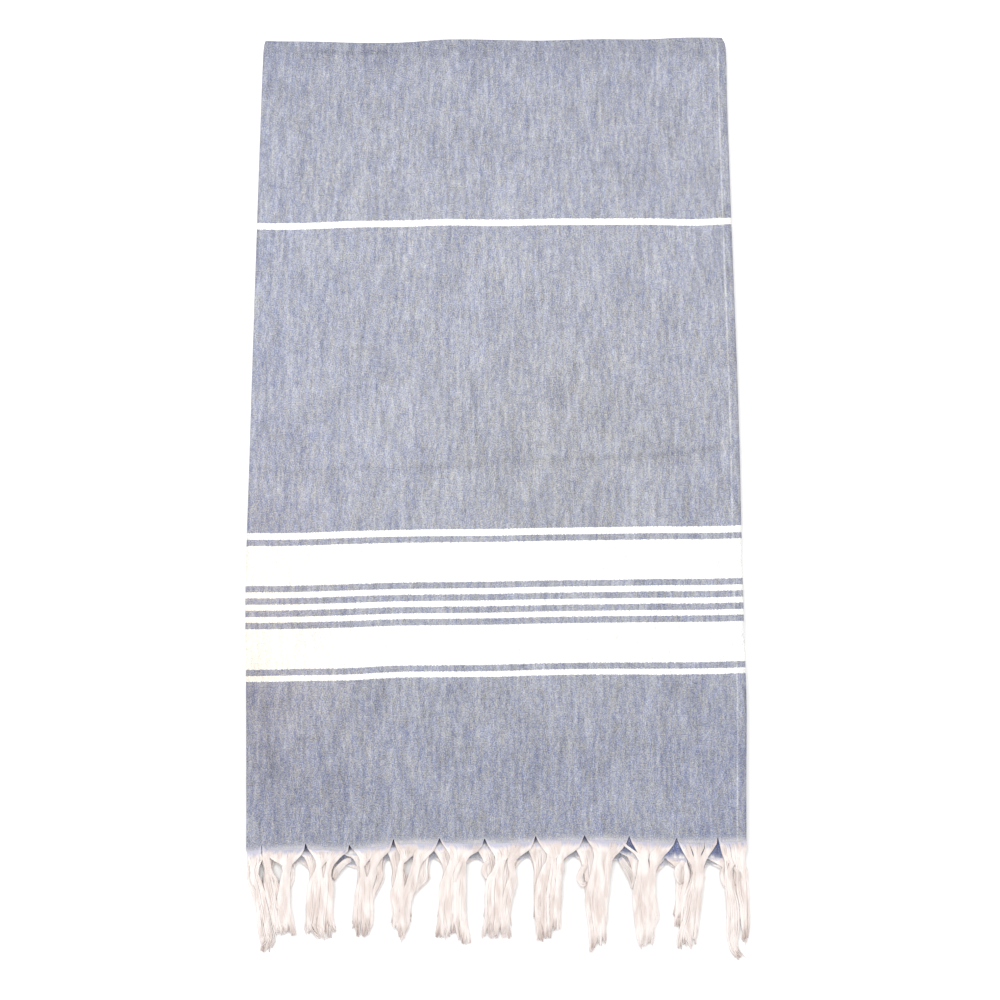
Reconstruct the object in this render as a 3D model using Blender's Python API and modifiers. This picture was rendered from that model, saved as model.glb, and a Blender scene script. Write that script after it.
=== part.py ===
"""A hammam towel with knotted fringes, folded in four and laid flat.

The towel is one woven length with a fringe of knotted warp ends at each end. It is folded along its length, which
makes the side fold, and then across its middle, which makes the top fold. Four layers lie on each other, and both
fringed ends lie at the bottom.

Each piece starts as a flat sheet. A place on it is (u, v): u is the distance from the side fold, positive on the half
of the width that shows, and v is the distance from the top fold, positive on the half of the length that shows. The
function place() folds that flat place into the towel, and a Solidify modifier gives the sheet its thickness.

Metres, +Z up. +X runs across the towel from the side fold to the selvedges, +Y from the fringes to the top fold.
"""

import bisect
import math
from typing import NamedTuple

import bmesh
import bpy
from mathutils import Vector

# --- Driving dimensions, in metres ---------------------------------------------------------------------------

FRONT_WIDTH = 0.480  # the half of the cloth's width that shows, from the side fold to the selvedge
BEHIND_WIDTH = 0.477  # the half folded under it
WOVEN_HALF = 0.8132  # from the hem's middle to the crest of the top fold
SHEET = 0.0012  # thickness of the cloth with its loft
PITCH = 0.0020  # from one layer to the next
LAYERS = 4

GAP = 0.0003  # between the cloth and the strip that the fringe hangs from
BACKING = 0.003  # width of that strip
NOTCH = 0.0016  # between two tassels at their roots
SLIT = 0.0007  # between two strands of one tassel
STRAND_THICK = 0.0022  # the thickest part of a front tassel
KNOT_LENGTH = 0.007
KNOT_SPREAD = 1.05  # width of a bunch below its knot, as a share of the knot's
TENT_SHARE = 0.42  # how much of its root's width a tassel has half way to its knot; the rest is the knot's
WAIST_DROP = 0.052  # from the hem to half way down a bunch

BASE_LOFT = 0.0009  # air between the layers away from the edges
TOP_FOLD_LOFT = 0.0024  # how much higher the towel stands along the top fold
TOP_FOLD_REACH = 0.016
SIDE_FOLD_LOFT = 0.0014
SIDE_FOLD_REACH = 0.012
LOFT_END = 0.030  # how far below the hem the fringe lies flat

SIDE_TURN = PITCH / 2  # radius of the side fold, at the middle of the sheet
TOP_TURN = PITCH  # radius of the top fold, at the middle of a pair of layers
SIDE_ARC = SIDE_TURN * math.pi / 2  # half the cloth that goes round the side fold
TOP_ARC = TOP_TURN * math.pi / 2
STACK_MIDDLE = ((LAYERS - 1) * PITCH + SHEET) / 2
FOLD_Y = WOVEN_HALF - SIDE_TURN - SHEET / 2 - TOP_TURN  # where the layers start to turn
HEM_V = FOLD_Y + TOP_ARC  # v of the hem
STRIP_TOP = HEM_V + GAP
STRIP_LOW = STRIP_TOP + BACKING

MM = 0.001

# --- Short tables, in millimetres ----------------------------------------------------------------------------

# The outline as it lies: distance up from the hem, place of the side fold, place of the selvedge.
OUTLINE = (
    (-110, 1.0, 477.5),
    (0, 1.0, 477.5),
    (60, -0.9, 479.7),
    (130, -2.6, 481.4),
    (250, -5.7, 479.6),
    (400, -4.8, 479.4),
    (600, -3.2, 476.8),
    (740, -1.8, 475.0),
    (802, -0.4, 474.4),
    (813, 1.6, 469.5),
)

# How far the weft lies above a level line, at these distances from the side fold.
WEFT_X = (0, 50, 100, 145, 190, 240, 290, 350, 400, 440, 480)
WEFT_RISE = (
    # distance up from the hem, then the rise at each place of WEFT_X
    (0, (-7.0, -4.7, -6.0, -0.2, 0.2, 0.0, 2.7, 2.8, 0.5, 0.8, 2.6)),
    (230, (-4.6, -4.0, -2.5, -1.0, -0.5, 0.0, 1.2, 2.0, 2.6, 2.8, 3.6)),
    (620, (-4.0, -3.4, -1.5, -0.9, 0.7, 0.0, 0.8, 1.1, 1.4, 0.5, 2.2)),
    (813, (-1.6, -1.8, -3.2, -2.9, 0.3, 0.0, -1.0, 0.3, 0.3, 2.2, 2.2)),
)

# How far each layer slips down past the front hem, at these distances from the side fold.
SLIP_X = (0, 60, 300, 400, 480)
SLIP = {
    # (half of the length, half of the width): the slip at each place of SLIP_X
    ("shown", "front"): (0.0, 0.0, 0.0, 0.0, 0.0),
    ("shown", "behind"): (0.0, 5.5, 5.5, 9.0, 13.5),
    ("hidden", "behind"): (2.0, 4.0, 6.0, 7.0, 10.0),
    ("hidden", "front"): (2.0, 5.0, 4.0, 8.0, 9.0),
}


class Crease(NamedTuple):
    """A soft ridge in the top layer, from one place to another, in millimetres."""

    x0: float
    y0: float
    x1: float
    y1: float
    reach: float
    height: float


CREASES = (
    # the crease pressed across the towel when it was folded smaller
    Crease(-20, 368, 240, 371, 7, 0.9),
    Crease(240, 371, 500, 384, 7, 0.9),
    # soft ridges that run up from the hem
    Crease(58, -10, 50, 150, 22, 1.1),
    Crease(140, -10, 128, 120, 24, 0.9),
    Crease(222, -10, 226, 110, 26, 1.0),
    Crease(330, -10, 318, 140, 30, 0.8),
    Crease(432, -10, 440, 150, 24, 1.1),
    # the selvedge curls up a little
    Crease(480, -20, 478, 300, 14, 0.9),
    Crease(478, 420, 474, 700, 12, 0.7),
)


class Tassel(NamedTuple):
    """One knotted bunch of warp ends. x is from the side fold, a drop is below its hem, all in millimetres."""

    root_end: float  # where its root ends and the next one begins
    knot_x: float
    knot_drop: float
    knot_width: float
    waist_x: float  # half way down the bunch
    waist_width: float
    tip_x: float
    tip_width: float
    tip_drops: tuple  # one for each lock


FRONT_TASSELS = (
    Tassel(15.3, 12, 30, 8, 18, 11, 23, 10, (86, 91, 87)),
    Tassel(56.3, 34, 27, 17, 34, 20, 40, 17, (75, 77, 77)),
    Tassel(99.3, 73, 24, 20, 72, 25, 72, 26, (78, 82, 78)),
    Tassel(141.3, 113, 25, 18, 113, 19, 113, 21, (74, 78, 71)),
    Tassel(185.2, 155, 27, 20, 151, 20, 151, 15, (76, 82, 74)),
    Tassel(228.1, 201, 22, 21, 198, 27, 197, 29, (87, 82, 88)),
    Tassel(275.8, 243, 24, 23, 242, 27, 237, 29, (84, 87, 85)),
    Tassel(323.5, 288, 24, 26, 287, 28, 287, 26, (85, 86, 79)),
    Tassel(365.5, 341, 25, 18, 336, 23, 337, 18, (95, 98, 91)),
    Tassel(410.3, 384, 25, 19, 384, 23, 383, 15, (94, 98, 89)),
    Tassel(449.5, 429, 26, 15, 425, 22, 418, 16, (97, 99, 92)),
    Tassel(478.0, 471, 30, 18, 473, 24, 473, 28, (88, 107, 105, 91)),
)
BEHIND_TASSELS = (
    Tassel(8, 6, 26, 5, 12, 5, 16, 4, (69, 71)),
    Tassel(48, 25, 32, 14, 24, 12, 26, 12, (71, 75)),
    Tassel(93, 71, 28, 17, 69, 17, 70, 17, (62, 66)),
    Tassel(133, 117, 30, 14, 114, 14, 115, 13, (58, 62)),
    Tassel(177, 147, 25, 13, 147, 11, 147, 11, (64, 70)),
    Tassel(219, 197, 23, 16, 194, 15, 192, 15, (69, 73)),
    Tassel(268, 242, 27, 24, 240, 20, 238, 20, (69, 73)),
    Tassel(312, 285, 25, 19, 284, 17, 283, 16, (65, 71)),
    Tassel(357, 331, 36, 14, 332, 13, 334, 12, (72, 78)),
    Tassel(402, 376, 34, 13, 379, 12, 380, 12, (73, 77)),
    Tassel(443, 418, 23, 13, 416, 12, 415, 12, (74, 78)),
    Tassel(477, 466, 24, 12, 468, 11, 467, 10, (64, 68)),
)


class Row(NamedTuple):
    """The tassels on one half of the width at one end."""

    tassels: tuple
    shift: float  # along the hem, in millimetres
    thick: float  # of its knots and bunches


TASSEL_ROWS = {
    ("shown", "front"): Row(FRONT_TASSELS, 0, STRAND_THICK),
    ("shown", "behind"): Row(BEHIND_TASSELS, 0, SHEET),
    ("hidden", "behind"): Row(BEHIND_TASSELS, 1.5, SHEET),
    ("hidden", "front"): Row(BEHIND_TASSELS, -0.8, SHEET),
}

# Where the flat cloth is divided, from a fold. The halves that are hidden are divided less often.
ACROSS_STEP = 24
ACROSS_STEP_HIDDEN = 48
ALONG = (12, 30, 55, 90, 140, 195, 255, 315, 375, 418, 431, 439, 447, 467, 520, 570, 620, 665, 700, 735, 770, 800)
ALONG_HIDDEN = (12, 60, 140, 230, 320, 410, 500, 590, 680, 755)
TURN_STEPS = 6

CLOTH_COLOUR = (0.463, 0.478, 0.558, 1)
FRINGE_COLOUR = (0.905, 0.855, 0.815, 1)
CLOTH_ROUGHNESS = 0.9
FRINGE_ROUGHNESS = 0.85


# --- Small helpers -------------------------------------------------------------------------------------------


def between(xs, ys, x):
    """A smooth curve through the points (xs, ys), level past both ends."""
    if x <= xs[0]:
        return ys[0]
    if x >= xs[-1]:
        return ys[-1]
    i = bisect.bisect_right(xs, x) - 1

    def slope(k):
        a = max(k - 1, 0)
        b = min(k + 1, len(xs) - 1)
        return (ys[b] - ys[a]) / (xs[b] - xs[a])

    span = xs[i + 1] - xs[i]
    t = (x - xs[i]) / span
    rise = ys[i + 1] - ys[i]
    start = slope(i) * span
    end = slope(i + 1) * span
    return ys[i] + t * (start + t * (3 * rise - 2 * start - end + t * (start + end - 2 * rise)))


def fade(t):
    """0 below 0, 1 above 1, and a soft step between."""
    t = min(max(t, 0), 1)
    return t * t * (3 - 2 * t)


# --- How the flat cloth becomes the folded towel -------------------------------------------------------------


def round_turn(distance, radius, arc):
    """A line that turns back on itself: how far in from the turn it is, how far up, and the turn's angle."""
    if distance >= arc:
        return radius + distance - arc, radius, math.pi / 2
    if distance <= -arc:
        return radius - distance - arc, -radius, -math.pi / 2
    angle = distance / radius
    return radius - radius * math.cos(angle), radius * math.sin(angle), angle


def across(inward):
    """The flat distance u from the side fold of a place on the front half, this far in from the fold's edge."""
    return inward - SIDE_TURN + SIDE_ARC


def outline(y):
    """Where the side fold and the selvedge lie, this far up from the hem."""
    ys = [row[0] for row in OUTLINE]
    left = between(ys, [row[1] for row in OUTLINE], y / MM)
    right = between(ys, [row[2] for row in OUTLINE], y / MM)
    return left * MM, right * MM


def weft_rise(inward, y):
    """How far the weft lies above a level line through the towel's middle."""
    ys = [row[0] for row in WEFT_RISE]
    rises = [between(WEFT_X, row[1], inward / MM) for row in WEFT_RISE]
    return between(ys, rises, y / MM) * MM


def slip(u, v, inward):
    """How far this layer has slipped down past the front hem."""
    half = ("shown" if v > 0 else "hidden", "front" if u > 0 else "behind")
    return between(SLIP_X, SLIP[half], inward / MM) * MM * abs(v) / HEM_V


def crease_height(crease, x, y):
    """The height of one soft ridge at a place."""
    along = (crease.x1 - crease.x0, crease.y1 - crease.y0)
    length = math.hypot(*along)
    away = (x / MM - crease.x0, y / MM - crease.y0)
    t = (away[0] * along[0] + away[1] * along[1]) / length
    off = (away[0] * along[1] - away[1] * along[0]) / length
    ends = fade(t / crease.reach + 0.5) * fade((length - t) / crease.reach + 0.5)
    return crease.height * MM * ends * math.exp(-((off / crease.reach) ** 2))


def loft(inward, y):
    """How far the stack of layers stands above four flat layers, by the air between them."""
    top = TOP_FOLD_LOFT * math.exp(-(((WOVEN_HALF - y) / TOP_FOLD_REACH) ** 2))
    side = SIDE_FOLD_LOFT * math.exp(-((inward / SIDE_FOLD_REACH) ** 2))
    return BASE_LOFT + top + side


def share_of_loft(z):
    """How much of the loft lifts this height: each gap between two layers takes a third of it."""
    level, above = divmod(z, PITCH)
    return min((level + max(above - SHEET, 0) / (PITCH - SHEET)) / (LAYERS - 1), 1)


def place(u, v, raised=0.0):
    """The place in the folded towel of a place on the flat cloth, raised above its layer if need be."""
    inward, side_up, _ = round_turn(u, SIDE_TURN, SIDE_ARC)
    back, top_up, angle = round_turn(v, TOP_TURN, TOP_ARC)
    y = FOLD_Y + TOP_TURN - back + side_up * math.cos(angle)
    z = STACK_MIDDLE + top_up + side_up * math.sin(angle)
    left, right = outline(y)
    x = left + inward / FRONT_WIDTH * (right - left)
    y += weft_rise(inward, y) - slip(u, v, inward)
    share = share_of_loft(z)
    lift = loft(inward, y) * share
    if share == 1:
        lift += sum(crease_height(crease, x, y) for crease in CREASES)
    return x, y, z + lift * fade(1 + y / LOFT_END) + raised


# --- Making the pieces ---------------------------------------------------------------------------------------


def material(name, colour, roughness):
    made = bpy.data.materials.new(name)
    made.use_nodes = True
    shader = made.node_tree.nodes["Principled BSDF"]
    shader.inputs["Base Color"].default_value = colour
    shader.inputs["Roughness"].default_value = roughness
    shader.inputs["Metallic"].default_value = 0.0
    return made


def sheet_object(name, bm, thickness, finish, collection):
    """A closed solid of an open surface, with its thickness to both sides."""
    mesh = bpy.data.meshes.new(name)
    bm.to_mesh(mesh)
    bm.free()
    mesh.shade_smooth()
    mesh.materials.append(finish)
    obj = bpy.data.objects.new(name, mesh)
    collection.objects.link(obj)
    solidify = obj.modifiers.new("thickness", "SOLIDIFY")
    solidify.thickness = thickness
    solidify.offset = 0.0
    return obj


def turn_stations(arc):
    """Places round a fold, from one side to the other."""
    return [arc * (2 * i / TURN_STEPS - 1) for i in range(TURN_STEPS + 1)]


def even_stations(start, end, step):
    """Places from start to end, no more than a step apart."""
    count = math.ceil((end - start) / step)
    return [start + (end - start) * i / count for i in range(1, count + 1)]


def cloth_columns():
    """Where the flat cloth is divided across its width, from one selvedge to the other."""
    front = even_stations(SIDE_ARC, across(FRONT_WIDTH), ACROSS_STEP * MM)
    behind = even_stations(SIDE_ARC, across(BEHIND_WIDTH), ACROSS_STEP_HIDDEN * MM)
    return [-u for u in reversed(behind)] + turn_stations(SIDE_ARC) + front


def cloth(collection):
    """The woven cloth: a flat grid, finer on the halves that show, folded in four."""
    us = cloth_columns()
    shown = [distance * MM + TOP_ARC for distance in ALONG] + [HEM_V]
    hidden = [distance * MM + TOP_ARC for distance in ALONG_HIDDEN] + [HEM_V]
    vs = [-v for v in reversed(hidden)] + turn_stations(TOP_ARC) + shown
    bm = bmesh.new()
    bmesh.ops.create_grid(bm, x_segments=len(us) - 1, y_segments=len(vs) - 1, size=0.5)
    for vert in bm.verts:
        i = round((vert.co.x + 0.5) * (len(us) - 1))
        j = round((vert.co.y + 0.5) * (len(vs) - 1))
        vert.co = place(us[i], vs[j])
    finish = material("woven_cloth", CLOTH_COLOUR, CLOTH_ROUGHNESS)
    return sheet_object("towel_cloth", bm, SHEET, finish, collection)


def spread(middle, width, count):
    """The two edges of each of the strands that share a width evenly, from millimetres."""
    edges = [(middle + width * (i / count - 0.5)) * MM for i in range(count + 1)]
    return list(zip(edges, edges[1:]))


def lean(start, end, t):
    """The two edges of a strand, this far on its way from one pair of edges to another."""
    return tuple(a + (b - a) * t for a, b in zip(start, end))


class Line(NamedTuple):
    """One line across a tassel's strands, with a drop below the strip and two edges for each strand."""

    drops: tuple
    spans: list
    thick: float
    joined: bool  # whether the strands are one here, or stand apart


def tassel_lines(tassel, root_start, root_end, row):
    """The lines across one tassel from its root to its tips."""
    count = len(tassel.tip_drops)
    root_x = (root_start + root_end) / 2
    root_width = root_end - root_start - NOTCH / MM
    knot_x = tassel.knot_x + row.shift
    knot_width = min(tassel.knot_width, root_width)
    knot_drop = tassel.knot_drop * MM - BACKING
    tent_x = (root_x + knot_x) / 2
    tent_width = root_width * TENT_SHARE + knot_width * (1 - TENT_SHARE)
    waist_drop = WAIST_DROP - BACKING
    tips = tuple(drop * MM - BACKING for drop in tassel.tip_drops)
    waist_spans = spread(tassel.waist_x + row.shift, tassel.waist_width, count)
    end_spans = spread(tassel.tip_x + row.shift, tassel.tip_width, count)
    reach = sum(tips) / count - waist_drop
    tip_spans = [lean(w, e, (tip - waist_drop) / reach) for w, e, tip in zip(waist_spans, end_spans, tips)]

    def line(drop, middle, width, thick, joined):
        return Line((drop,) * count, spread(middle, width, count), thick, joined)

    return (
        line(0.0, root_x, root_width, SHEET, True),
        line(knot_drop / 2, tent_x, tent_width, SHEET, False),
        line(knot_drop, knot_x, knot_width, row.thick, True),
        line(knot_drop + KNOT_LENGTH, knot_x, knot_width * KNOT_SPREAD, row.thick, True),
        Line((waist_drop,) * count, waist_spans, row.thick, False),
        Line(tips, tip_spans, SHEET, False),
    )


class Pattern:
    """One end's fringe as a flat pattern, with slits between its strands, that is folded point by point."""

    def __init__(self, end):
        self.end = end  # 1 for the end that shows, -1 for the hidden one
        self.bm = bmesh.new()
        self.points = {}
        self.shares = []  # of the full thickness, one for each point
        self.columns = cloth_columns()

    def beside_hem(self, u, v):
        """A place on the strip, which keeps straight along each division of the cloth's edge."""
        i = min(max(bisect.bisect_right(self.columns, u), 1), len(self.columns) - 1)
        start, end = self.columns[i - 1], self.columns[i]
        return Vector(place(start, v)).lerp(Vector(place(end, v)), (u - start) / (end - start))

    def point(self, u, v, thick=SHEET, strand=None):
        """The point at a flat place. Strands that stand apart have their own point there."""
        key = (round(u, 7), round(v, 7), strand)
        if key not in self.points:
            if v <= STRIP_LOW:
                position = self.beside_hem(u, v * self.end)
            else:
                position = place(u, v * self.end, (thick - SHEET) / 2)
            self.points[key] = self.bm.verts.new(position)
            self.shares.append(thick / STRAND_THICK)
        return self.points[key]

    def strip(self, us):
        """The narrow strip that carries the strands, parted from the cloth's edge. Its top bends where that does."""
        for a, b in zip(us, us[1:]):
            tops = [a] + [u for u in self.columns if a < u < b] + [b]
            top = [self.point(u, STRIP_TOP) for u in tops]
            self.bm.faces.new(top + [self.point(b, STRIP_LOW), self.point(a, STRIP_LOW)])

    def strand_end(self, line, strand, side):
        """The two corners of one strand on one line, its left one first."""
        corners = []
        for edge, inward in ((0, 1), (1, -1)):
            apart = not line.joined and 0 < strand + edge < len(line.drops)
            x = line.spans[strand][edge] + inward * SLIT / 2 * apart
            v = STRIP_LOW + line.drops[strand]
            corners.append(self.point(side * across(x), v, line.thick, strand if apart else None))
        return corners

    def tassel(self, lines, side):
        """The strands of one tassel, down from the strip."""
        for upper, lower in zip(lines, lines[1:]):
            for strand in range(len(upper.drops)):
                above = self.strand_end(upper, strand, side)
                below = self.strand_end(lower, strand, side)
                self.bm.faces.new((above[0], above[1], below[1], below[0]))


def fringe(name, end, collection, finish):
    """The knotted fringe of one end: tassels on both halves of the width, on one strip round the side fold."""
    pattern = Pattern(end)
    length = "shown" if end > 0 else "hidden"
    stations = set(turn_stations(SIDE_ARC))
    for side, half, width in ((1, "front", FRONT_WIDTH), (-1, "behind", BEHIND_WIDTH)):
        row = TASSEL_ROWS[(length, half)]
        start = SIDE_TURN / MM
        for tassel in row.tassels:
            end_x = min(tassel.root_end + row.shift, width / MM)
            lines = tassel_lines(tassel, start, end_x, row)
            stations.update(side * across(x) for span in lines[0].spans for x in span)
            pattern.tassel(lines, side)
            start = end_x
        stations.add(side * across(width))
    pattern.strip(sorted(stations))
    bmesh.ops.recalc_face_normals(pattern.bm, faces=pattern.bm.faces)
    obj = sheet_object(name, pattern.bm, STRAND_THICK, finish, collection)
    group = obj.vertex_groups.new(name="thickness share")
    for index, share in enumerate(pattern.shares):
        group.add([index], share, "REPLACE")
    obj.modifiers["thickness"].vertex_group = group.name
    return obj


def stand_on_floor(objects):
    """Moves the towel so that its box stands on z = 0 with the origin under its middle."""
    bpy.context.view_layer.update()
    graph = bpy.context.evaluated_depsgraph_get()
    corners = [corner for obj in objects for corner in obj.evaluated_get(graph).bound_box]
    middle = [(min(c[axis] for c in corners) + max(c[axis] for c in corners)) / 2 for axis in (0, 1)]
    floor = min(c[2] for c in corners)
    for obj in objects:
        obj.location = (-middle[0], -middle[1], -floor)


def main():
    for obj in list(bpy.data.objects):
        bpy.data.objects.remove(obj, do_unlink=True)
    collection = bpy.data.collections.new("hammam_towel")
    bpy.context.scene.collection.children.link(collection)
    warp_ends = material("warp_ends", FRINGE_COLOUR, FRINGE_ROUGHNESS)
    pieces = [
        cloth(collection),
        fringe("fringe_front", 1, collection, warp_ends),
        fringe("fringe_back", -1, collection, warp_ends),
    ]
    stand_on_floor(pieces)


main()
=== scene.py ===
# %% [markdown]
# # A hammam towel, folded in four
#
# The real thing is one flat-woven cotton cloth with white warp yarns and blue-grey weft yarns. White weft
# makes the stripes across it. The warp runs on past both ends of the cloth and is knotted there into a
# fringe. The towel is folded along its length, then across its middle, and lies flat.
#
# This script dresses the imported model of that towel: a finer folded sheet with a woven look, and fringes
# made of yarns. It starts with the frame, which holds the solids and their sizes.

# %% Load the frame
import math
from collections import namedtuple
from functools import partialmethod

import bpy
import numpy as np
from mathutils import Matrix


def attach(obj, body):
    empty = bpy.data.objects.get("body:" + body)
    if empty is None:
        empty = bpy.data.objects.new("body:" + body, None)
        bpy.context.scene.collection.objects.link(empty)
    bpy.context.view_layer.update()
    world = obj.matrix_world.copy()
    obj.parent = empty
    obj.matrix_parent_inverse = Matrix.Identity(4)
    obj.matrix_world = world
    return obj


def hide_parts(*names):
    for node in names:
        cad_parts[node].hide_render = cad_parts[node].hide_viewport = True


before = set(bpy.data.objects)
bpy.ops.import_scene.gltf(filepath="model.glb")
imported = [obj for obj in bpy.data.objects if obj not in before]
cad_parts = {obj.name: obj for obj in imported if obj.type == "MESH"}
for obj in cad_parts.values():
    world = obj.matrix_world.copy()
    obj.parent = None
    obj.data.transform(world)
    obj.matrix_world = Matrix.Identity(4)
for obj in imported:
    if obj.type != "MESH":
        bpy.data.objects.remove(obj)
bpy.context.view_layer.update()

# %% [markdown]
# ## The place of the towel
#
# A towel is measured from its own corner: x runs from the side fold, y up from the hem, z up from the
# floor. The frame has its origin under the middle of the whole towel. One vector takes a place from the
# first to the second.

# %% The towel's own corner
MM = 0.001
TOWEL_CORNER = np.array([-238.87, -355.07, 0.0]) * MM
WATCHED = np.array([242.4, 333.4, 0.0]) * MM  # the place that the camera looks at
print("the corner lies at", TOWEL_CORNER)

# %% [markdown]
# ## The camera
#
# The towel was seen from above, by a camera that leaned a little towards the fringe. The sides of the towel
# run apart towards the fringe by a twelfth, which gives the lean once the distance is chosen.

# %% Set up the camera
CAMERA_DISTANCE = 1.8
CAMERA_LEAN = math.radians(10.06)
LENS = 65.7
SENSOR = 36


def add_object(name, data):
    """Puts a mesh, a camera or a lamp into the scene."""
    made = bpy.data.objects.new(name, data)
    bpy.context.scene.collection.objects.link(made)
    return made


def add_camera():
    lens = bpy.data.cameras.new("camera")
    lens.lens = LENS
    lens.sensor_width = SENSOR
    lens.clip_end = 20
    camera = add_object("camera", lens)
    away = np.array([0, -math.sin(CAMERA_LEAN), math.cos(CAMERA_LEAN)])
    camera.location = TOWEL_CORNER + WATCHED + away * CAMERA_DISTANCE
    camera.rotation_euler = (CAMERA_LEAN, 0, 0)
    bpy.context.scene.camera = camera
    return camera


print("camera at", [round(c, 3) for c in add_camera().location])

# %% [markdown]
# ## The flat cloth and its folds
#
# The sizes are the maker's: half a width of 0.48 m, half a length of 0.81 m from the hem to the top fold. A
# place on the flat cloth is (u, v): u from the side fold, v from the top fold, each positive on the half
# that shows.

# %% The cloth's sizes
FRONT_WIDTH = 0.480
BEHIND_WIDTH = 0.477
WOVEN_HALF = 0.8132
SHEET = 0.0012  # each layer's room in the stack
CLOTH_THICK = 0.0010
PITCH = 0.0020
SIDE_TURN = PITCH / 2
TOP_TURN = PITCH
SIDE_ARC = SIDE_TURN * math.pi / 2
TOP_ARC = TOP_TURN * math.pi / 2
GAPS = 3  # between the four layers
STACK_MIDDLE = (GAPS * PITCH + SHEET) / 2
FOLD_Y = WOVEN_HALF - SIDE_TURN - SHEET / 2 - TOP_TURN
HEM_V = FOLD_Y + TOP_ARC
print("flat cloth", FRONT_WIDTH + BEHIND_WIDTH, "by", round(2 * HEM_V, 3), "m")

# %% [markdown]
# The towel isn't a ruled rectangle. Its sides bow, its wefts rise towards the selvedge, and the layers have
# slipped past each other. Short tables say so, in millimetres, and smooth curves run through them.

# %% How it lies
# distance up from the hem, place of the side fold, place of the selvedge
OUTLINE = np.array([
    (-110, 1.8, 476.6),
    (0, 1.8, 476.6),
    (60, 0.4, 477.8),
    (130, -1.4, 479.6),
    (250, -4.9, 478.8),
    (400, -4.0, 478.8),
    (600, -2.4, 476.1),
    (740, -1.1, 474.3),
    (802, 0.2, 473.8),
    (813, 2.0, 469.2),
])
# how far the wefts have risen, at these places across and these distances up from the hem
WEFT_X = (0, 50, 100, 145, 190, 240, 290, 350, 400, 440, 480)
WEFT_Y = (0, 230, 620, 813)
WEFT_RISE = np.array([
    (-7, -4.7, -6, -0.2, 0.2, 0, 2.7, 2.8, 0.5, 0.8, 2.6),
    (-4.6, -4, -2.5, -1, -0.5, 0, 1.2, 2, 2.6, 2.8, 3.6),
    (-4, -3.4, -1.5, -0.9, 0.7, 0, 0.8, 1.1, 1.4, 0.5, 2.2),
    (-1.6, -1.8, -3.2, -2.9, 0.3, 0, -1, 0.3, 0.3, 2.2, 2.2),
])
SLIP_X = (0, 60, 140, 330, 365, 400, 480)
SLIP = {
    # (shown half of the length, front half of the width): how far the layer slipped down at those places
    (True, True): (0, 0, 0, 0, 0, 0, 0),
    (True, False): (0, 4, 3.2, 3.6, 12.5, 14, 15.5),
    (False, False): (3, 12, 13.5, 15, 18, 19, 19.8),
    (False, True): (2, 5, 4.5, 5.5, 7, 8, 9),
}


def smooth_curve(xs, ys, at):
    """Heights on a smooth curve through xs and ys, level past its ends. Each place may have its own ys."""
    xs = np.asarray(xs, float)
    ys = np.asarray(ys, float)
    if ys.ndim == 1:
        ys = np.repeat(ys[:, None], len(at), axis=1)
    at = np.clip(at, xs[0], xs[-1])
    low = np.clip(np.searchsorted(xs, at, side="right") - 1, 0, len(xs) - 2)
    column = np.arange(len(at))

    def slope(k):
        a = np.maximum(k - 1, 0)
        b = np.minimum(k + 1, len(xs) - 1)
        return (ys[b, column] - ys[a, column]) / (xs[b] - xs[a])

    span = xs[low + 1] - xs[low]
    t = (at - xs[low]) / span
    rise = ys[low + 1, column] - ys[low, column]
    start = slope(low) * span
    end = slope(low + 1) * span
    return ys[low, column] + t * (start + t * (3 * rise - 2 * start - end + t * (start + end - 2 * rise)))


def soft_step(t):
    t = np.clip(t, 0, 1)
    return t * t * (3 - 2 * t)


print("the selvedge at half height:", smooth_curve(OUTLINE[:, 0], OUTLINE[:, 2], np.array([400.0])))

# %% [markdown]
# ## Creases and loft
#
# Folded cotton keeps air between its layers, and the top layer shows soft ridges: one pressed in when it was
# folded smaller, and some that run up from the knots. They are listed in the towel's own sizes. Slow random
# heights make each layer lie a little differently, as a simulation would, but always the same way.

# %% Ridges in the top layer
Crease = namedtuple("Crease", "x0 y0 x1 y1 reach height")


def rows_of(kind, *rows):
    """A table in which every row is a named tuple of this kind."""
    return [kind(*row) for row in rows]


CREASES = rows_of(
    Crease,
    # the crease that was pressed across
    (-20, 361.5, 170, 363, 5, 0.6),
    (170, 363, 260, 371, 5, 0.6),
    (260, 371, 385, 375, 5, 0.6),
    (385, 375, 500, 387.5, 5, 0.6),
    # a faint slanting one above it
    (168, 527, 300, 508, 8, 0.4),
    # soft ridges that run up from the knots
    (58, -10, 50, 150, 22, 1.1),
    (140, -10, 128, 120, 24, 0.9),
    (222, -10, 226, 110, 26, 1),
    (330, -10, 318, 140, 30, 0.8),
    (432, -10, 440, 150, 24, 1.1),
    # the selvedge curls up a little
    (480, -20, 478, 300, 14, 0.9),
    (478, 420, 474, 700, 12, 0.7),
)


def ridge(crease, x, y):
    """How far one crease lifts the cloth at places in millimetres."""
    along = np.array([crease.x1 - crease.x0, crease.y1 - crease.y0])
    length = np.hypot(*along)
    dx = x - crease.x0
    dy = y - crease.y0
    t = (dx * along[0] + dy * along[1]) / length
    off = (dx * along[1] - dy * along[0]) / length
    ends = soft_step(t / crease.reach + 0.5) * soft_step((length - t) / crease.reach + 0.5)
    return crease.height * ends * np.exp(-((off / crease.reach) ** 2))


NOISE_CELLS = 64  # the random heights repeat after this many
NOISE_START = (7.3, 3.1)


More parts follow.
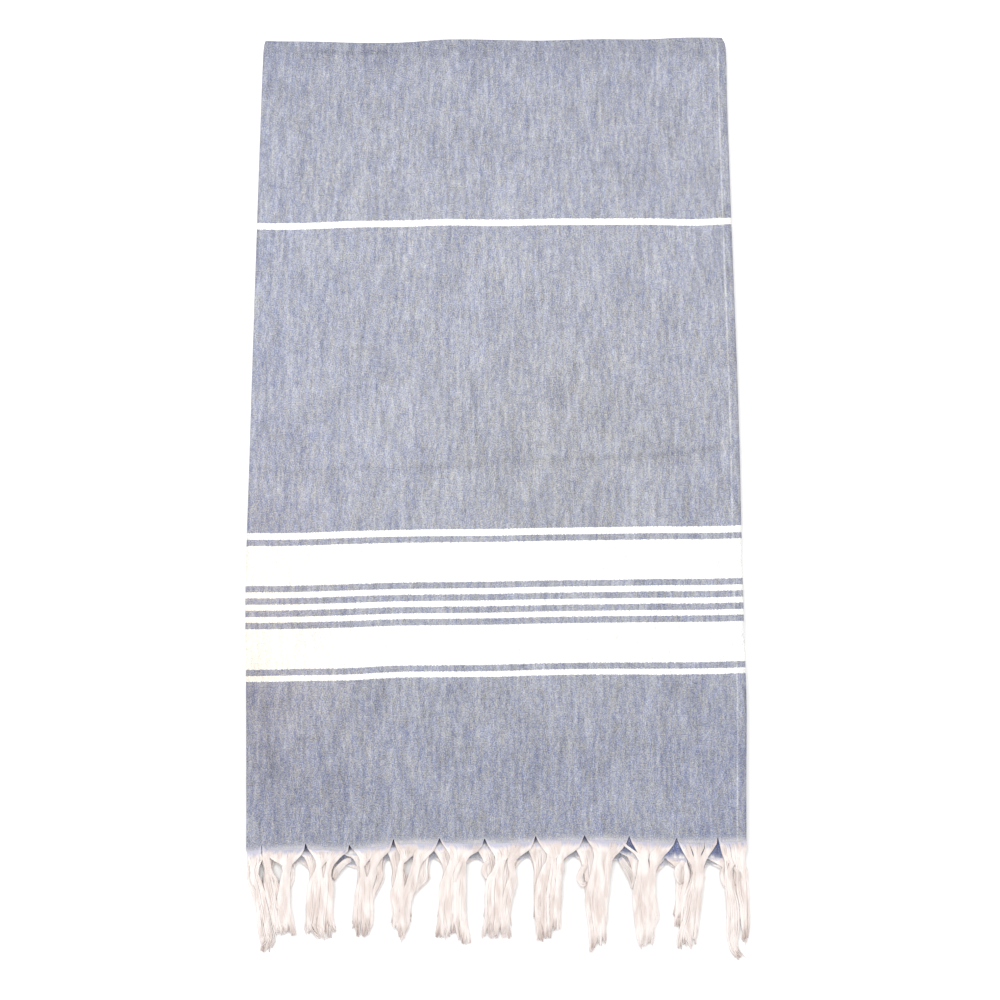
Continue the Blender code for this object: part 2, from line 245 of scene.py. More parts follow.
def slow_noise(x, y, size_x, size_y, seed):
    """Random heights from -1 to 1 that change slowly over the given sizes."""
    table = np.random.default_rng(seed).uniform(-1, 1, (NOISE_CELLS, NOISE_CELLS))
    gx = x / size_x + NOISE_START[0]
    gy = y / size_y + NOISE_START[1]
    i = np.floor(gx).astype(int)
    j = np.floor(gy).astype(int)
    fx = soft_step(gx - i)
    fy = soft_step(gy - j)

    def corner(a, b):
        return table[(i + a) % NOISE_CELLS, (j + b) % NOISE_CELLS]

    low = corner(0, 0) * (1 - fx) + corner(1, 0) * fx
    high = corner(0, 1) * (1 - fx) + corner(1, 1) * fx
    return low * (1 - fy) + high * fy


print("creases:", len(CREASES))

# %% [markdown]
# ## Folding
#
# A sheet could be folded by a simulation. Here each place on the flat cloth is sent to its place in the
# towel by a rule: round the side fold, then round the top fold. So the pattern can be woven on the flat
# cloth, the folds have their true radius, and the stripes line up on every layer.

# %% The folding rule
BASE_LOFT = 0.0003  # in each gap
GAP_CHANGE = 0.00045
GAP_PATCH = (90, 120)  # it changes slowly over these sizes, across and along, in millimetres
GAP_SEED = 40
TOP_FOLD_LOFT = 0.0024
TOP_FOLD_REACH = 0.016
SIDE_FOLD_LOFT = 0.0014
SIDE_FOLD_REACH = 0.012
LOFT_END = 0.030  # the loft fades over this length below the hem
RIPPLES = ((34, 95, 0.30), (13, 40, 0.10))  # size across, size along, height, all in millimetres
RIPPLE_SEED = 60


def round_turn(distance, radius, arc):
    """A line that turns back on itself: how far in from the turn it is, how far up, and the turn's angle."""
    angle = np.clip(distance / radius, -math.pi / 2, math.pi / 2)
    past = np.maximum(np.abs(distance) - arc, 0)
    return radius - radius * np.cos(angle) + past, radius * np.sin(angle), angle


def across(inward):
    return inward - SIDE_TURN + SIDE_ARC


def layer_slip(u, v, inward):
    slip = np.zeros_like(u)
    for (shown, front), row in SLIP.items():
        here = ((v > 0) == shown) & ((u > 0) == front)
        slip[here] = smooth_curve(SLIP_X, row, inward[here] / MM)
    return slip * MM * np.abs(v) / HEM_V


def loft(x, y, inward, z):
    """How far the air between the layers lifts this place."""
    lift = np.zeros_like(z)
    folds = TOP_FOLD_LOFT * np.exp(-(((WOVEN_HALF - y) / TOP_FOLD_REACH) ** 2))
    folds = folds + SIDE_FOLD_LOFT * np.exp(-((inward / SIDE_FOLD_REACH) ** 2))
    for gap in range(GAPS):
        above = z - gap * PITCH - SHEET
        share = np.clip(above / (PITCH - SHEET), 0, 1)
        change = GAP_CHANGE * slow_noise(x / MM, y / MM, *GAP_PATCH, GAP_SEED + gap)
        lift += share * (BASE_LOFT + folds / GAPS + change)
    return lift


def fold(u, v):
    """Places in the towel, in metres from its corner, of places on the flat cloth."""
    inward, side_up, _ = round_turn(u, SIDE_TURN, SIDE_ARC)
    back, top_up, angle = round_turn(v, TOP_TURN, TOP_ARC)
    y = FOLD_Y + TOP_TURN - back + side_up * np.cos(angle)
    z = STACK_MIDDLE + top_up + side_up * np.sin(angle)
    left, right = (smooth_curve(OUTLINE[:, 0], side, y / MM) * MM for side in OUTLINE.T[1:])
    x = left + inward / FRONT_WIDTH * (right - left)
    rises = np.array([smooth_curve(WEFT_X, row, inward / MM) for row in WEFT_RISE])
    y = y + smooth_curve(WEFT_Y, rises, y / MM) * MM - layer_slip(u, v, inward)
    lift = loft(x, y, inward, z)
    top = soft_step((z - GAPS * PITCH) / (SHEET / 2))
    relief = sum(ridge(crease, x / MM, y / MM) for crease in CREASES)
    for number, (wide, long, height) in enumerate(RIPPLES):
        relief = relief + height * slow_noise(x / MM, y / MM, wide, long, RIPPLE_SEED + number)
    z = z + (lift + top * relief * MM) * soft_step(1 + y / LOFT_END)
    return np.stack([x, y, z], axis=1)


print("the top fold's crest:", fold(np.array([0.24]), np.array([0.0])).round(4))

# %% [markdown]
# ## The cloth as one sheet
#
# The flat cloth is a grid of quads. It is fine where the cloth shows and coarser in the layers below. Where
# two tassels part, the pull of their knots has opened the last wefts into a small notch, so each notch gets
# its own columns of the grid. The grid keeps its flat sizes as a UV map in metres, which the weave is drawn
# on.

# %% Where the flat cloth is divided
NOTCHES = (14.5, 56.5, 98.5, 141.0, 185.0, 228.5, 277.5, 324.5, 367.5, 413.0, 452.5)
NOTCH_HALF = 4.2
NOTCH_RISE = 5.2
NOTCH_ROOM = 1.4  # other columns stay this many of its half widths away from a notch
FRONT_STEP = 0.0045
BEHIND_STEP = 0.014
HIDDEN_STEP = 0.016
ROW_STRETCHES = (
    # down to this distance from the hem, rows this far apart: finer by the pressed crease and by the hem
    (0.398, 0.0046),
    (0.352, 0.0024),
    (0.008, 0.0046),
    (0, 0.002),
)
TURN_STEPS = 10


def steps(start, end, step):
    count = math.ceil((end - start) / step)
    return list(start + (end - start) * np.arange(1, count + 1) / count)


def turn_steps(arc):
    return list(arc * np.linspace(-1, 1, TURN_STEPS + 1))


def clear_of_notches(x):
    return all(abs(x / MM - notch) > NOTCH_HALF * NOTCH_ROOM for notch in NOTCHES)


plain = [x for x in steps(SIDE_TURN, FRONT_WIDTH, FRONT_STEP) if clear_of_notches(x)]
bites = [(notch + side * NOTCH_HALF) * MM for notch in NOTCHES for side in (-1, 0, 1)]
front = [across(x) for x in sorted(plain + bites)]
behind = steps(SIDE_ARC, across(BEHIND_WIDTH), BEHIND_STEP)
COLUMNS = np.array([-u for u in reversed(behind)] + turn_steps(SIDE_ARC) + front)

down = []
start = TOP_ARC
for from_hem, step in ROW_STRETCHES:
    down += steps(start, HEM_V - from_hem, step)
    start = HEM_V - from_hem
hidden = steps(TOP_ARC, HEM_V, HIDDEN_STEP)
ROWS = np.array([-v for v in reversed(hidden)] + turn_steps(TOP_ARC) + down)
print("columns", len(COLUMNS), "rows", len(ROWS))

# %% [markdown]
# The sheet gets its thickness from a Solidify modifier, a little thinner at the edges, which are single
# yarns. The modifier gives the lower side its own material, painted dark blue with shade, because that side
# shows only in the notches, in the shade of the layer above.

# %% Build the cloth
NOTCH_PULL = 0.012  # how far up from the hem a notch moves the wefts
PATTERN_PULL = 0.65  # and how much the pattern moves with them
RIM_THICKNESS = 0.55  # the share of the thickness that the edges keep


def notch_bite(u):
    """How far the notches open the hem, in metres."""
    inward = (u - SIDE_ARC + SIDE_TURN) / MM
    nearest = np.min([np.abs(inward - notch) for notch in NOTCHES], axis=0)
    return NOTCH_RISE * MM * np.clip(1 - nearest / NOTCH_HALF, 0, 1) * (u > 0)


def open_notches(u, v):
    """Moves the last wefts back where the notches are."""
    near = soft_step((np.abs(v) - (HEM_V - NOTCH_PULL)) / NOTCH_PULL)
    return v - notch_bite(u) * near * (v > 0)


def grid_mesh(name, places, flat):
    """A mesh of quads from a grid of places, with flat sizes as its UV map."""
    rows, columns = places.shape[:2]
    index = np.arange(rows * columns).reshape(rows, columns)
    corners = (index[:-1, :-1], index[1:, :-1], index[1:, 1:], index[:-1, 1:])
    quads = np.stack(corners, axis=-1).reshape(-1, 4)
    mesh = bpy.data.meshes.new(name)
    mesh.from_pydata(places.reshape(-1, 3).tolist(), [], quads.tolist())
    uv = mesh.uv_layers.new(name="flat cloth")
    uv.data.foreach_set("uv", flat.reshape(-1, 2)[quads.reshape(-1)].astype(np.float32).ravel())
    mesh.shade_smooth()
    return mesh


def finished(obj):
    """The object with its modifiers made part of its mesh."""
    graph = bpy.context.evaluated_depsgraph_get()
    done = obj.evaluated_get(graph)
    mesh = bpy.data.meshes.new_from_object(done, preserve_all_data_layers=True, depsgraph=graph)
    obj.modifiers.clear()
    old = obj.data
    obj.data = mesh
    bpy.data.meshes.remove(old)
    return obj


def triangles(obj):
    return sum(len(face.vertices) - 2 for face in obj.data.polygons)


def build_cloth(name):
    u, v = (axis.ravel() for axis in np.meshgrid(COLUMNS, ROWS))
    opened = open_notches(u, v)
    places = fold(u, opened) + TOWEL_CORNER
    drawn = np.stack([u, (1 - PATTERN_PULL) * v + PATTERN_PULL * opened], axis=1)
    shape = (len(ROWS), len(COLUMNS))
    obj = add_object(name, grid_mesh(name, places.reshape(*shape, 3), drawn.reshape(*shape, 2)))
    edge = obj.vertex_groups.new(name="thickness")
    index = np.arange(len(u)).reshape(shape)
    rim = set(np.concatenate([index[0], index[-1], index[:, 0], index[:, -1]]).tolist())
    edge.add([i for i in range(len(u)) if i not in rim], 1.0, "REPLACE")
    edge.add(list(rim), RIM_THICKNESS, "REPLACE")
    solid = obj.modifiers.new("thickness", "SOLIDIFY")
    solid.thickness = CLOTH_THICK
    solid.offset = 0
    solid.vertex_group = edge.name
    solid.material_offset = 1
    return obj


cloth = build_cloth("woven_towel")
print("the flat grid has", len(cloth.data.polygons), "quads")

# %% [markdown]
# ## Helpers for node trees
#
# The weave, the stripes and the melange are drawn by nodes, and a few short helpers keep those trees
# readable. What a socket gives is a Value. It is added, multiplied and so on like a number, and each such
# step becomes a node.

# %% Node helpers


class Value:
    """What one socket gives."""

    def __init__(self, tree, socket):
        self.tree = tree
        self.socket = socket

    def calc(self, operation, *others):
        return node(self.tree, "ShaderNodeMath", dict(enumerate((self, *others))), operation=operation)[0]


# each sign on a Value makes one kind of maths node: + - * / ** and abs()
SIGNS = {"add": "ADD", "sub": "SUBTRACT", "mul": "MULTIPLY", "truediv": "DIVIDE"}
for sign, operation in {**SIGNS, "pow": "POWER", "abs": "ABSOLUTE"}.items():
    setattr(Value, f"__{sign}__", partialmethod(Value.calc, operation))


class Outputs:
    """The Values of some sockets, by name, or by number where names repeat."""

    def __init__(self, tree, sockets):
        self.tree = tree
        self.sockets = sockets

    def __getitem__(self, key):
        return Value(self.tree, self.sockets[key])


def feed(socket, value):
    if isinstance(value, Value):
        value.tree.links.new(value.socket, socket)
    else:
        socket.default_value = value


def node(tree, kind, inputs=None, **settings):
    """The outputs of a new node. Its inputs are named, or numbered where names repeat."""
    made = tree.nodes.new(kind)
    for setting, value in settings.items():
        setattr(made, setting, value)
    for key, value in (inputs or {}).items():
        feed(made.inputs[key], value)
    return Outputs(tree, made.outputs)


def remap(value, low, high, new_low=0.0, new_high=1.0):
    inputs = {"Value": value, "From Min": low, "From Max": high, "To Min": new_low, "To Max": new_high}
    return node(value.tree, "ShaderNodeMapRange", inputs, interpolation_type="SMOOTHSTEP")["Result"]


def noise(vector, scale=1.0, detail=1.0, roughness=0.5):
    inputs = {"Vector": vector, "Scale": scale, "Detail": detail, "Roughness": roughness}
    return node(vector.tree, "ShaderNodeTexNoise", inputs)


def mix_colour(share, first, second):
    return node(share.tree, "ShaderNodeMix", {0: share, 6: first, 7: second}, data_type="RGBA")[2]


def bump(height, strength, distance):
    inputs = {"Strength": strength, "Distance": distance, "Height": height}
    return node(height.tree, "ShaderNodeBump", inputs)[0]


def new_group(name, inputs, outputs):
    """A shader group with inputs {name: default}: its tree, its inputs' Values and its outputs' sockets."""
    tree = bpy.data.node_groups.new(name, "ShaderNodeTree")
    for label, default in inputs.items():
        socket = tree.interface.new_socket(label, in_out="INPUT", socket_type="NodeSocketFloat")
        socket.default_value = default
    for label in outputs:
        tree.interface.new_socket(label, in_out="OUTPUT", socket_type="NodeSocketFloat")
    given = Outputs(tree, tree.nodes.new("NodeGroupInput").outputs)
    return tree, given, tree.nodes.new("NodeGroupOutput").inputs


def new_material(name, settings):
    """A material with these shader settings, its tree and its shader's inputs."""
    material = bpy.data.materials.new(name)
    material.use_nodes = True
    put = material.node_tree.nodes["Principled BSDF"].inputs
    for label, value in settings.items():
        feed(put[label], value)
    return material, material.node_tree, put


print("helpers ready")

# %% [markdown]
# ## A plain weave
#
# In a plain weave each warp yarn goes over one weft yarn and under the next. Two sine waves give that:
# their product is positive on the crossings where the warp lies on top. A yarn here is about half a
# millimetre wide, so the weave is only seen from near, and from afar it mixes the two colours.

# %% Group: plain weave
YARN_EDGE = 0.25  # how softly one yarn gives way to the other


def plain_weave_group():
    inputs = {"Across": 0, "Along": 0, "Yarn": 0.00055}
    tree, given, put = new_group("plain weave", inputs, ("Warp On Top", "Height"))
    wave_u, wave_v = ((given[way] / given["Yarn"] * math.pi).calc("SINE") for way in ("Across", "Along"))
    feed(put["Warp On Top"], remap(wave_u * wave_v, -YARN_EDGE, YARN_EDGE))
    feed(put["Height"], (abs(wave_u) * abs(wave_v)).calc("SQRT"))
    return tree


plain_weave = plain_weave_group()
print("inputs:", [item.name for item in plain_weave.interface.items_tree])

# %% [markdown]
# ## The melange of the yarns
#
# Cotton yarn is thicker in some places than in others. A thick stretch of warp covers more of the blue
# weft, so the cloth has short pale and dark streaks along the warp, each a yarn or two wide, and small
# flecks where a single crossing stands out. The group makes noise of several sizes, stretched along the
# warp.

# %% Group: melange
GRAINS = {
    # size across and along the warp, in metres, then detail, roughness, and a layer of its own
    "Streak": (0.0042, 0.030, 3.0, 0.62, 1.7),
    "Cloud": (0.030, 0.090, 3.0, 0.55, 4.1),
    "Speck": (0.0026, 0.0066, 1.0, 0.60, 7.9),
    "Fleck": (0.0010, 0.0012, 1.0, 0.60, 15.1),
    "Hue": (0.0026, 0.0140, 3.0, 0.80, 11.3),
}


def stretched_noise(place, size_across, size_along, detail=1.0, roughness=0.5, layer=0.0):
    x = place["Across"] / size_across
    y = place["Along"] / size_along
    vector = node(x.tree, "ShaderNodeCombineXYZ", {"X": x, "Y": y, "Z": layer})[0]
    return noise(vector, detail=detail, roughness=roughness)["Fac"]


def melange_group():
    tree, given, put = new_group("melange", {"Across": 0, "Along": 0}, GRAINS)
    for label, grain in GRAINS.items():
        feed(put[label], stretched_noise(given, *grain))
    return tree


melange = melange_group()
print("inputs:", [item.name for item in melange.interface.items_tree])

# %% [markdown]
# ## The woven stripes
#
# A stripe is a stretch of white weft, so it depends only on the distance from the hem, and is the same on
# both ends of the cloth. Its edge is one weft yarn, which waves a little between the warps.

# %% Group: stripes across
WHITE_STRIPES = (
    # start and end, in millimetres up from the hem
    (158.7, 164.2),
    (170.3, 209.1),
    (215.4, 220.9),
    (227.2, 232.9),
    (239.2, 245.0),
    (251.2, 290.4),
    (296.6, 303.2),
    (612.5, 619.3),
)
WAVE_SIZE = (0.0016, 0.004)  # how soon a weft's wave changes, across and along
FULL_NOISE = 4.0  # noise mostly keeps within a quarter of its middle, so this brings it to -1 to 1


def stripe_group():
    inputs = {"Across": 0, "Along": 0, "Weft Wave": 0.45}
    tree, given, put = new_group("woven stripes", inputs, ("White", "From Hem"))
    from_hem = (abs(given["Along"]) - HEM_V) * (-1 / MM)
    wave = (stretched_noise(given, *WAVE_SIZE) - 0.5) * (given["Weft Wave"] * FULL_NOISE)
    weft = from_hem + wave
    white = 0.0
    for start, end in WHITE_STRIPES:
        white = weft.calc("COMPARE", (start + end) / 2, (end - start) / 2).calc("MAXIMUM", white)
    feed(put["White"], white)
    feed(put["From Hem"], from_hem)
    return tree


woven_stripes = stripe_group()
print("stripes:", len(WHITE_STRIPES))

# %% [markdown]
# ## Soft marks
#
# A used towel isn't one even shade. Its dye has taken a little more in some places. Other marks are painted
# shade: the cloth by the top fold is darker, as are thin lines along the side fold and the creases, where the
# pressed crease also shows a little wear, and soft troughs near the hem. Each such place is a soft oval with
# its middle, half sizes and turn on the flat cloth. It makes the cloth darker or lighter, greyer or bluer, or
# the white a little cream. One group draws one oval, and the material adds them up.

# %% Group: soft mark
Mark = namedtuple("Mark", "x y across along turn shade")
MARKS = rows_of(
    Mark,
    # middle from the side fold and the hem, half sizes, turn in degrees, lighter (+) or darker (-)
    # painted shade: the cloth by the top fold is darker, with a darker rim and a thin shaded line below it
    (240, 808, 400, 20, 0, -0.15),
    (240, 816, 400, 4, 0, -0.15),
    (75, 801, 50, 2.5, 0, -0.12),
    # painted shade: a thin dark line where the cloth turns down round the side fold
    (-1, 400, 3, 900, 0, -0.12),
    (262, 780, 16, 22, 0, -0.06),
    (40, 740, 30, 45, 0, -0.05),
    (117, 697, 14, 55, 0, -0.08),
    (225, 535, 16, 40, 0, 0.04),
    # painted shade along the faint slanting crease
    (235, 517, 62, 4, -7.5, -0.05),
    (92, 400, 45, 55, 0, 0.06),
    (160, 420, 16, 90, 0, 0.07),
    # the pressed crease: a dark line of painted shade, and a little wear where the yarns were pressed flat
    (80, 365.5, 100, 4, -0.7, -0.10),
    (215, 367, 60, 3.5, 4.4, -0.09),
    (325, 372, 75, 3.5, 1, -0.12),
    (435, 379, 55, 4, 6.8, -0.12),
    (400, 353, 110, 9, 2, 0.04),
    (250, 144, 300, 13, 0, -0.05),
    (90, 120, 16, 35, 0, -0.06),
    # painted shade in the soft troughs between the ridges that run up from the knots
    (23, 75, 18, 90, 0, -0.09),
    (26, 75, 3.5, 75, 10, -0.06),
    (90, 50, 3.5, 34, -7, -0.06),
    (180, 94, 3, 16, 0, -0.06),
    (157, 88, 14, 35, 0, 0.05),
    (340, 45, 30, 32, 0, 0.06),
    (300, 8, 35, 9, 0, -0.07),
    # painted shade: a broad band that darkens towards the top fold
    (240, 765, 400, 75, 0, -0.05),
    (60, 330, 70, 40, 0, 0.05),
    (230, 120, 100, 28, 0, -0.04),
    (325, 20, 45, 22, 0, 0.07),
)
TINTS = rows_of(
    Mark,
    # the same, but greyer (+) or bluer (-)
    (310, 390, 110, 120, 0, 0.18),
    (240, 800, 400, 45, 0, -0.10),
    (0, 400, 60, 600, 0, -0.10),
    (470, 60, 50, 90, 0, -0.10),
)
# painted light: the wrong side is lightened where the wide notches at the right let light in
WRONG_SIDE_PAINTED_LIGHT = [Mark(-412, 10, 70, 30, 0, 1.5)]
CREAM = Mark(0, 200, 90, 150, 0, 1)  # the white bands have yellowed by the side fold


def soft_mark_group():
    inputs = {"Inward": 0, "From Hem": 0, "X": 0, "Y": 0, "Half Across": 10, "Half Along": 10, "Turn": 0}
    tree, given, put = new_group("soft mark", inputs, ("Mark",))
    dx = given["Inward"] - given["X"]
    dy = given["From Hem"] - given["Y"]
    cos = given["Turn"].calc("COSINE")
    sin = given["Turn"].calc("SINE")
    across_it = (dx * cos + dy * sin) / given["Half Across"]
    along_it = (dy * cos - dx * sin) / given["Half Along"]
    feed(put["Mark"], ((abs(across_it) ** 2.0 + abs(along_it) ** 2.0) * -1.0).calc("EXPONENT"))
    return tree


soft_mark = soft_mark_group()
print("marks:", len(MARKS))

# %% [markdown]
# ## The cloth's two sides
#
# Colour comes first: blue weft and white warp are mixed by how much warp shows, then the white stripes cover
# the blue. Near the hem the wefts are beaten less tightly and the white warp takes over. A border eight
# millimetres wide runs along the selvedge, and one pale yarn marks its edge. The wrong side has the same
# weave with less warp on top and darker wefts, which is painted shade: it shows only in the shade of the
# notches, and one mark paints light back where they are wide.

# %% Materials: right side and wrong side
WARP_WHITE = (0.865, 0.860, 0.842, 1)
CREAM_WHITE = (0.865, 0.795, 0.705, 1)
WEFT_BLUE = (0.080, 0.112, 0.275, 1)
WEFT_GREY = (0.147, 0.147, 0.152, 1)
# painted shade: the wrong side shows only in the notches, under the layer above, so its blues are as dark as
# that shade
SHADED_WRONG_SIDE_BLUE = (0.036, 0.050, 0.128, 1)
SHADED_WRONG_SIDE_GREY = (0.048, 0.053, 0.083, 1)
BARE_WARP = (0.930, 0.885, 0.845, 1)
SELVEDGE = 8.0
PALE_YARN = 0.8  # half the width of the selvedge's pale yarn
PALER = 0.16
DARKER_BELOW_STRIPES = (160.0, 60.0, 0.0, 0.045)  # below the stripes, towards the hem, less warp shows and the cloth is darker
# how strongly the grains change the share of warp, the hue, the shade and the place where the wefts end
WARP_GRAIN = {"Streak": 0.26, "Cloud": 0.10, "Speck": 0.18, "Fleck": 0.40, "Warp On Top": 0.14}
HUE_GRAIN = {"Fleck": 1.2}
HUE_RANGE = (0.25, 0.75)
SHADE_GRAIN = {"Cloud": 0.20, "Streak": 0.46, "Speck": 0.34, "Fleck": 0.85}
HEM_GRAIN = {"Streak": 5.0, "Speck": 6.0, "Cloud": 10.0}
HEM_CURVE = 2.5
WEAVE_BUMP = (0.35, 0.0003)  # strength and depth


def woven_material(name, wefts, marks, tints, warp_share, hem_fade):
    """The cloth with these weft colours and this share of white warp, which fades to bare warp at the hem."""
    material, tree, put = new_material(name, {"Roughness": 0.92, "Specular IOR Level": 0.2})
    uv = node(tree, "ShaderNodeUVMap", uv_map="flat cloth")[0]
    flat = node(tree, "ShaderNodeSeparateXYZ", {0: uv})
    inward = flat["X"] * (1 / MM)

    def place_group(group, inputs):
        return node(tree, "ShaderNodeGroup", inputs, node_tree=group)

    here = {"Across": flat["X"], "Along": flat["Y"]}
    weave = place_group(plain_weave, here)
    yarns = place_group(melange, here)
    stripes = place_group(woven_stripes, here)

    def varied(value, strengths):
        """The value with some grains added to it, each one counted from its middle."""
        for label, strength in strengths.items():
            grain = yarns[label] if label in GRAINS else weave[label]
            value = (grain - 0.5) * strength + value
        return value

    def oval(mark):
        place = {"Inward": inward, "From Hem": stripes["From Hem"], "X": mark.x, "Y": mark.y}
        size = {"Half Across": mark.across, "Half Along": mark.along, "Turn": math.radians(mark.turn)}
        return place_group(soft_mark, {**place, **size})["Mark"] * mark.shade

    warp = varied(warp_share, WARP_GRAIN) - remap(stripes["From Hem"], *DARKER_BELOW_STRIPES)
    warp += abs(inward).calc("COMPARE", FRONT_WIDTH / MM - SELVEDGE, PALE_YARN) * PALER
    warp = node(tree, "ShaderNodeClamp", {"Value": warp.calc("MAXIMUM", stripes["White"])})[0]
    hue = remap(varied(yarns["Hue"], HUE_GRAIN), *HUE_RANGE)
    for tint in tints:
        hue += oval(tint)
    white = mix_colour(oval(CREAM), WARP_WHITE, CREAM_WHITE)
    woven = mix_colour(warp, mix_colour(hue, *wefts), white)

    shade = varied(1.0, SHADE_GRAIN)
    for mark in marks:
        shade += oval(mark)
    woven = node(tree, "ShaderNodeVectorMath", {0: woven, "Scale": shade}, operation="SCALE")[0]
    bare = remap(varied(stripes["From Hem"], HEM_GRAIN), *hem_fade) ** HEM_CURVE
    feed(put["Base Color"], mix_colour(bare, woven, BARE_WARP))
    feed(put["Normal"], bump(weave["Height"], *WEAVE_BUMP))
    return material


right_side = woven_material(
    "cloth_right_side", (WEFT_BLUE, WEFT_GREY), MARKS, TINTS, warp_share=0.265, hem_fade=(12.0, -6.5)
)
# painted shade: dark wefts and little warp make the wrong side as dark as the shade in the notches
shaded_wrong_side = woven_material(
    "cloth_wrong_side_painted_shade",
    (SHADED_WRONG_SIDE_BLUE, SHADED_WRONG_SIDE_GREY),
    WRONG_SIDE_PAINTED_LIGHT,
    (),
    warp_share=0.04,
    hem_fade=(8.5, -2.5),
)
cloth.data.materials.append(right_side)
cloth.data.materials.append(shaded_wrong_side)
finished(cloth)
print("the cloth has", triangles(cloth), "triangles")

# %% [markdown]
# ## The fringe
#
# Past the hem the warp yarns are free. The maker took them in bunches and tied each bunch in a loose knot
# about two and a half centimetres below the hem. So each bunch is two arms that lean together above its
# knot, and a flat tassel below it. It shows as a few locks that lie beside and over each other. A lock is
# written as the stretch of hem that it comes from, how high it lies over its neighbours, and its middle and
# width at some distances below the hem.

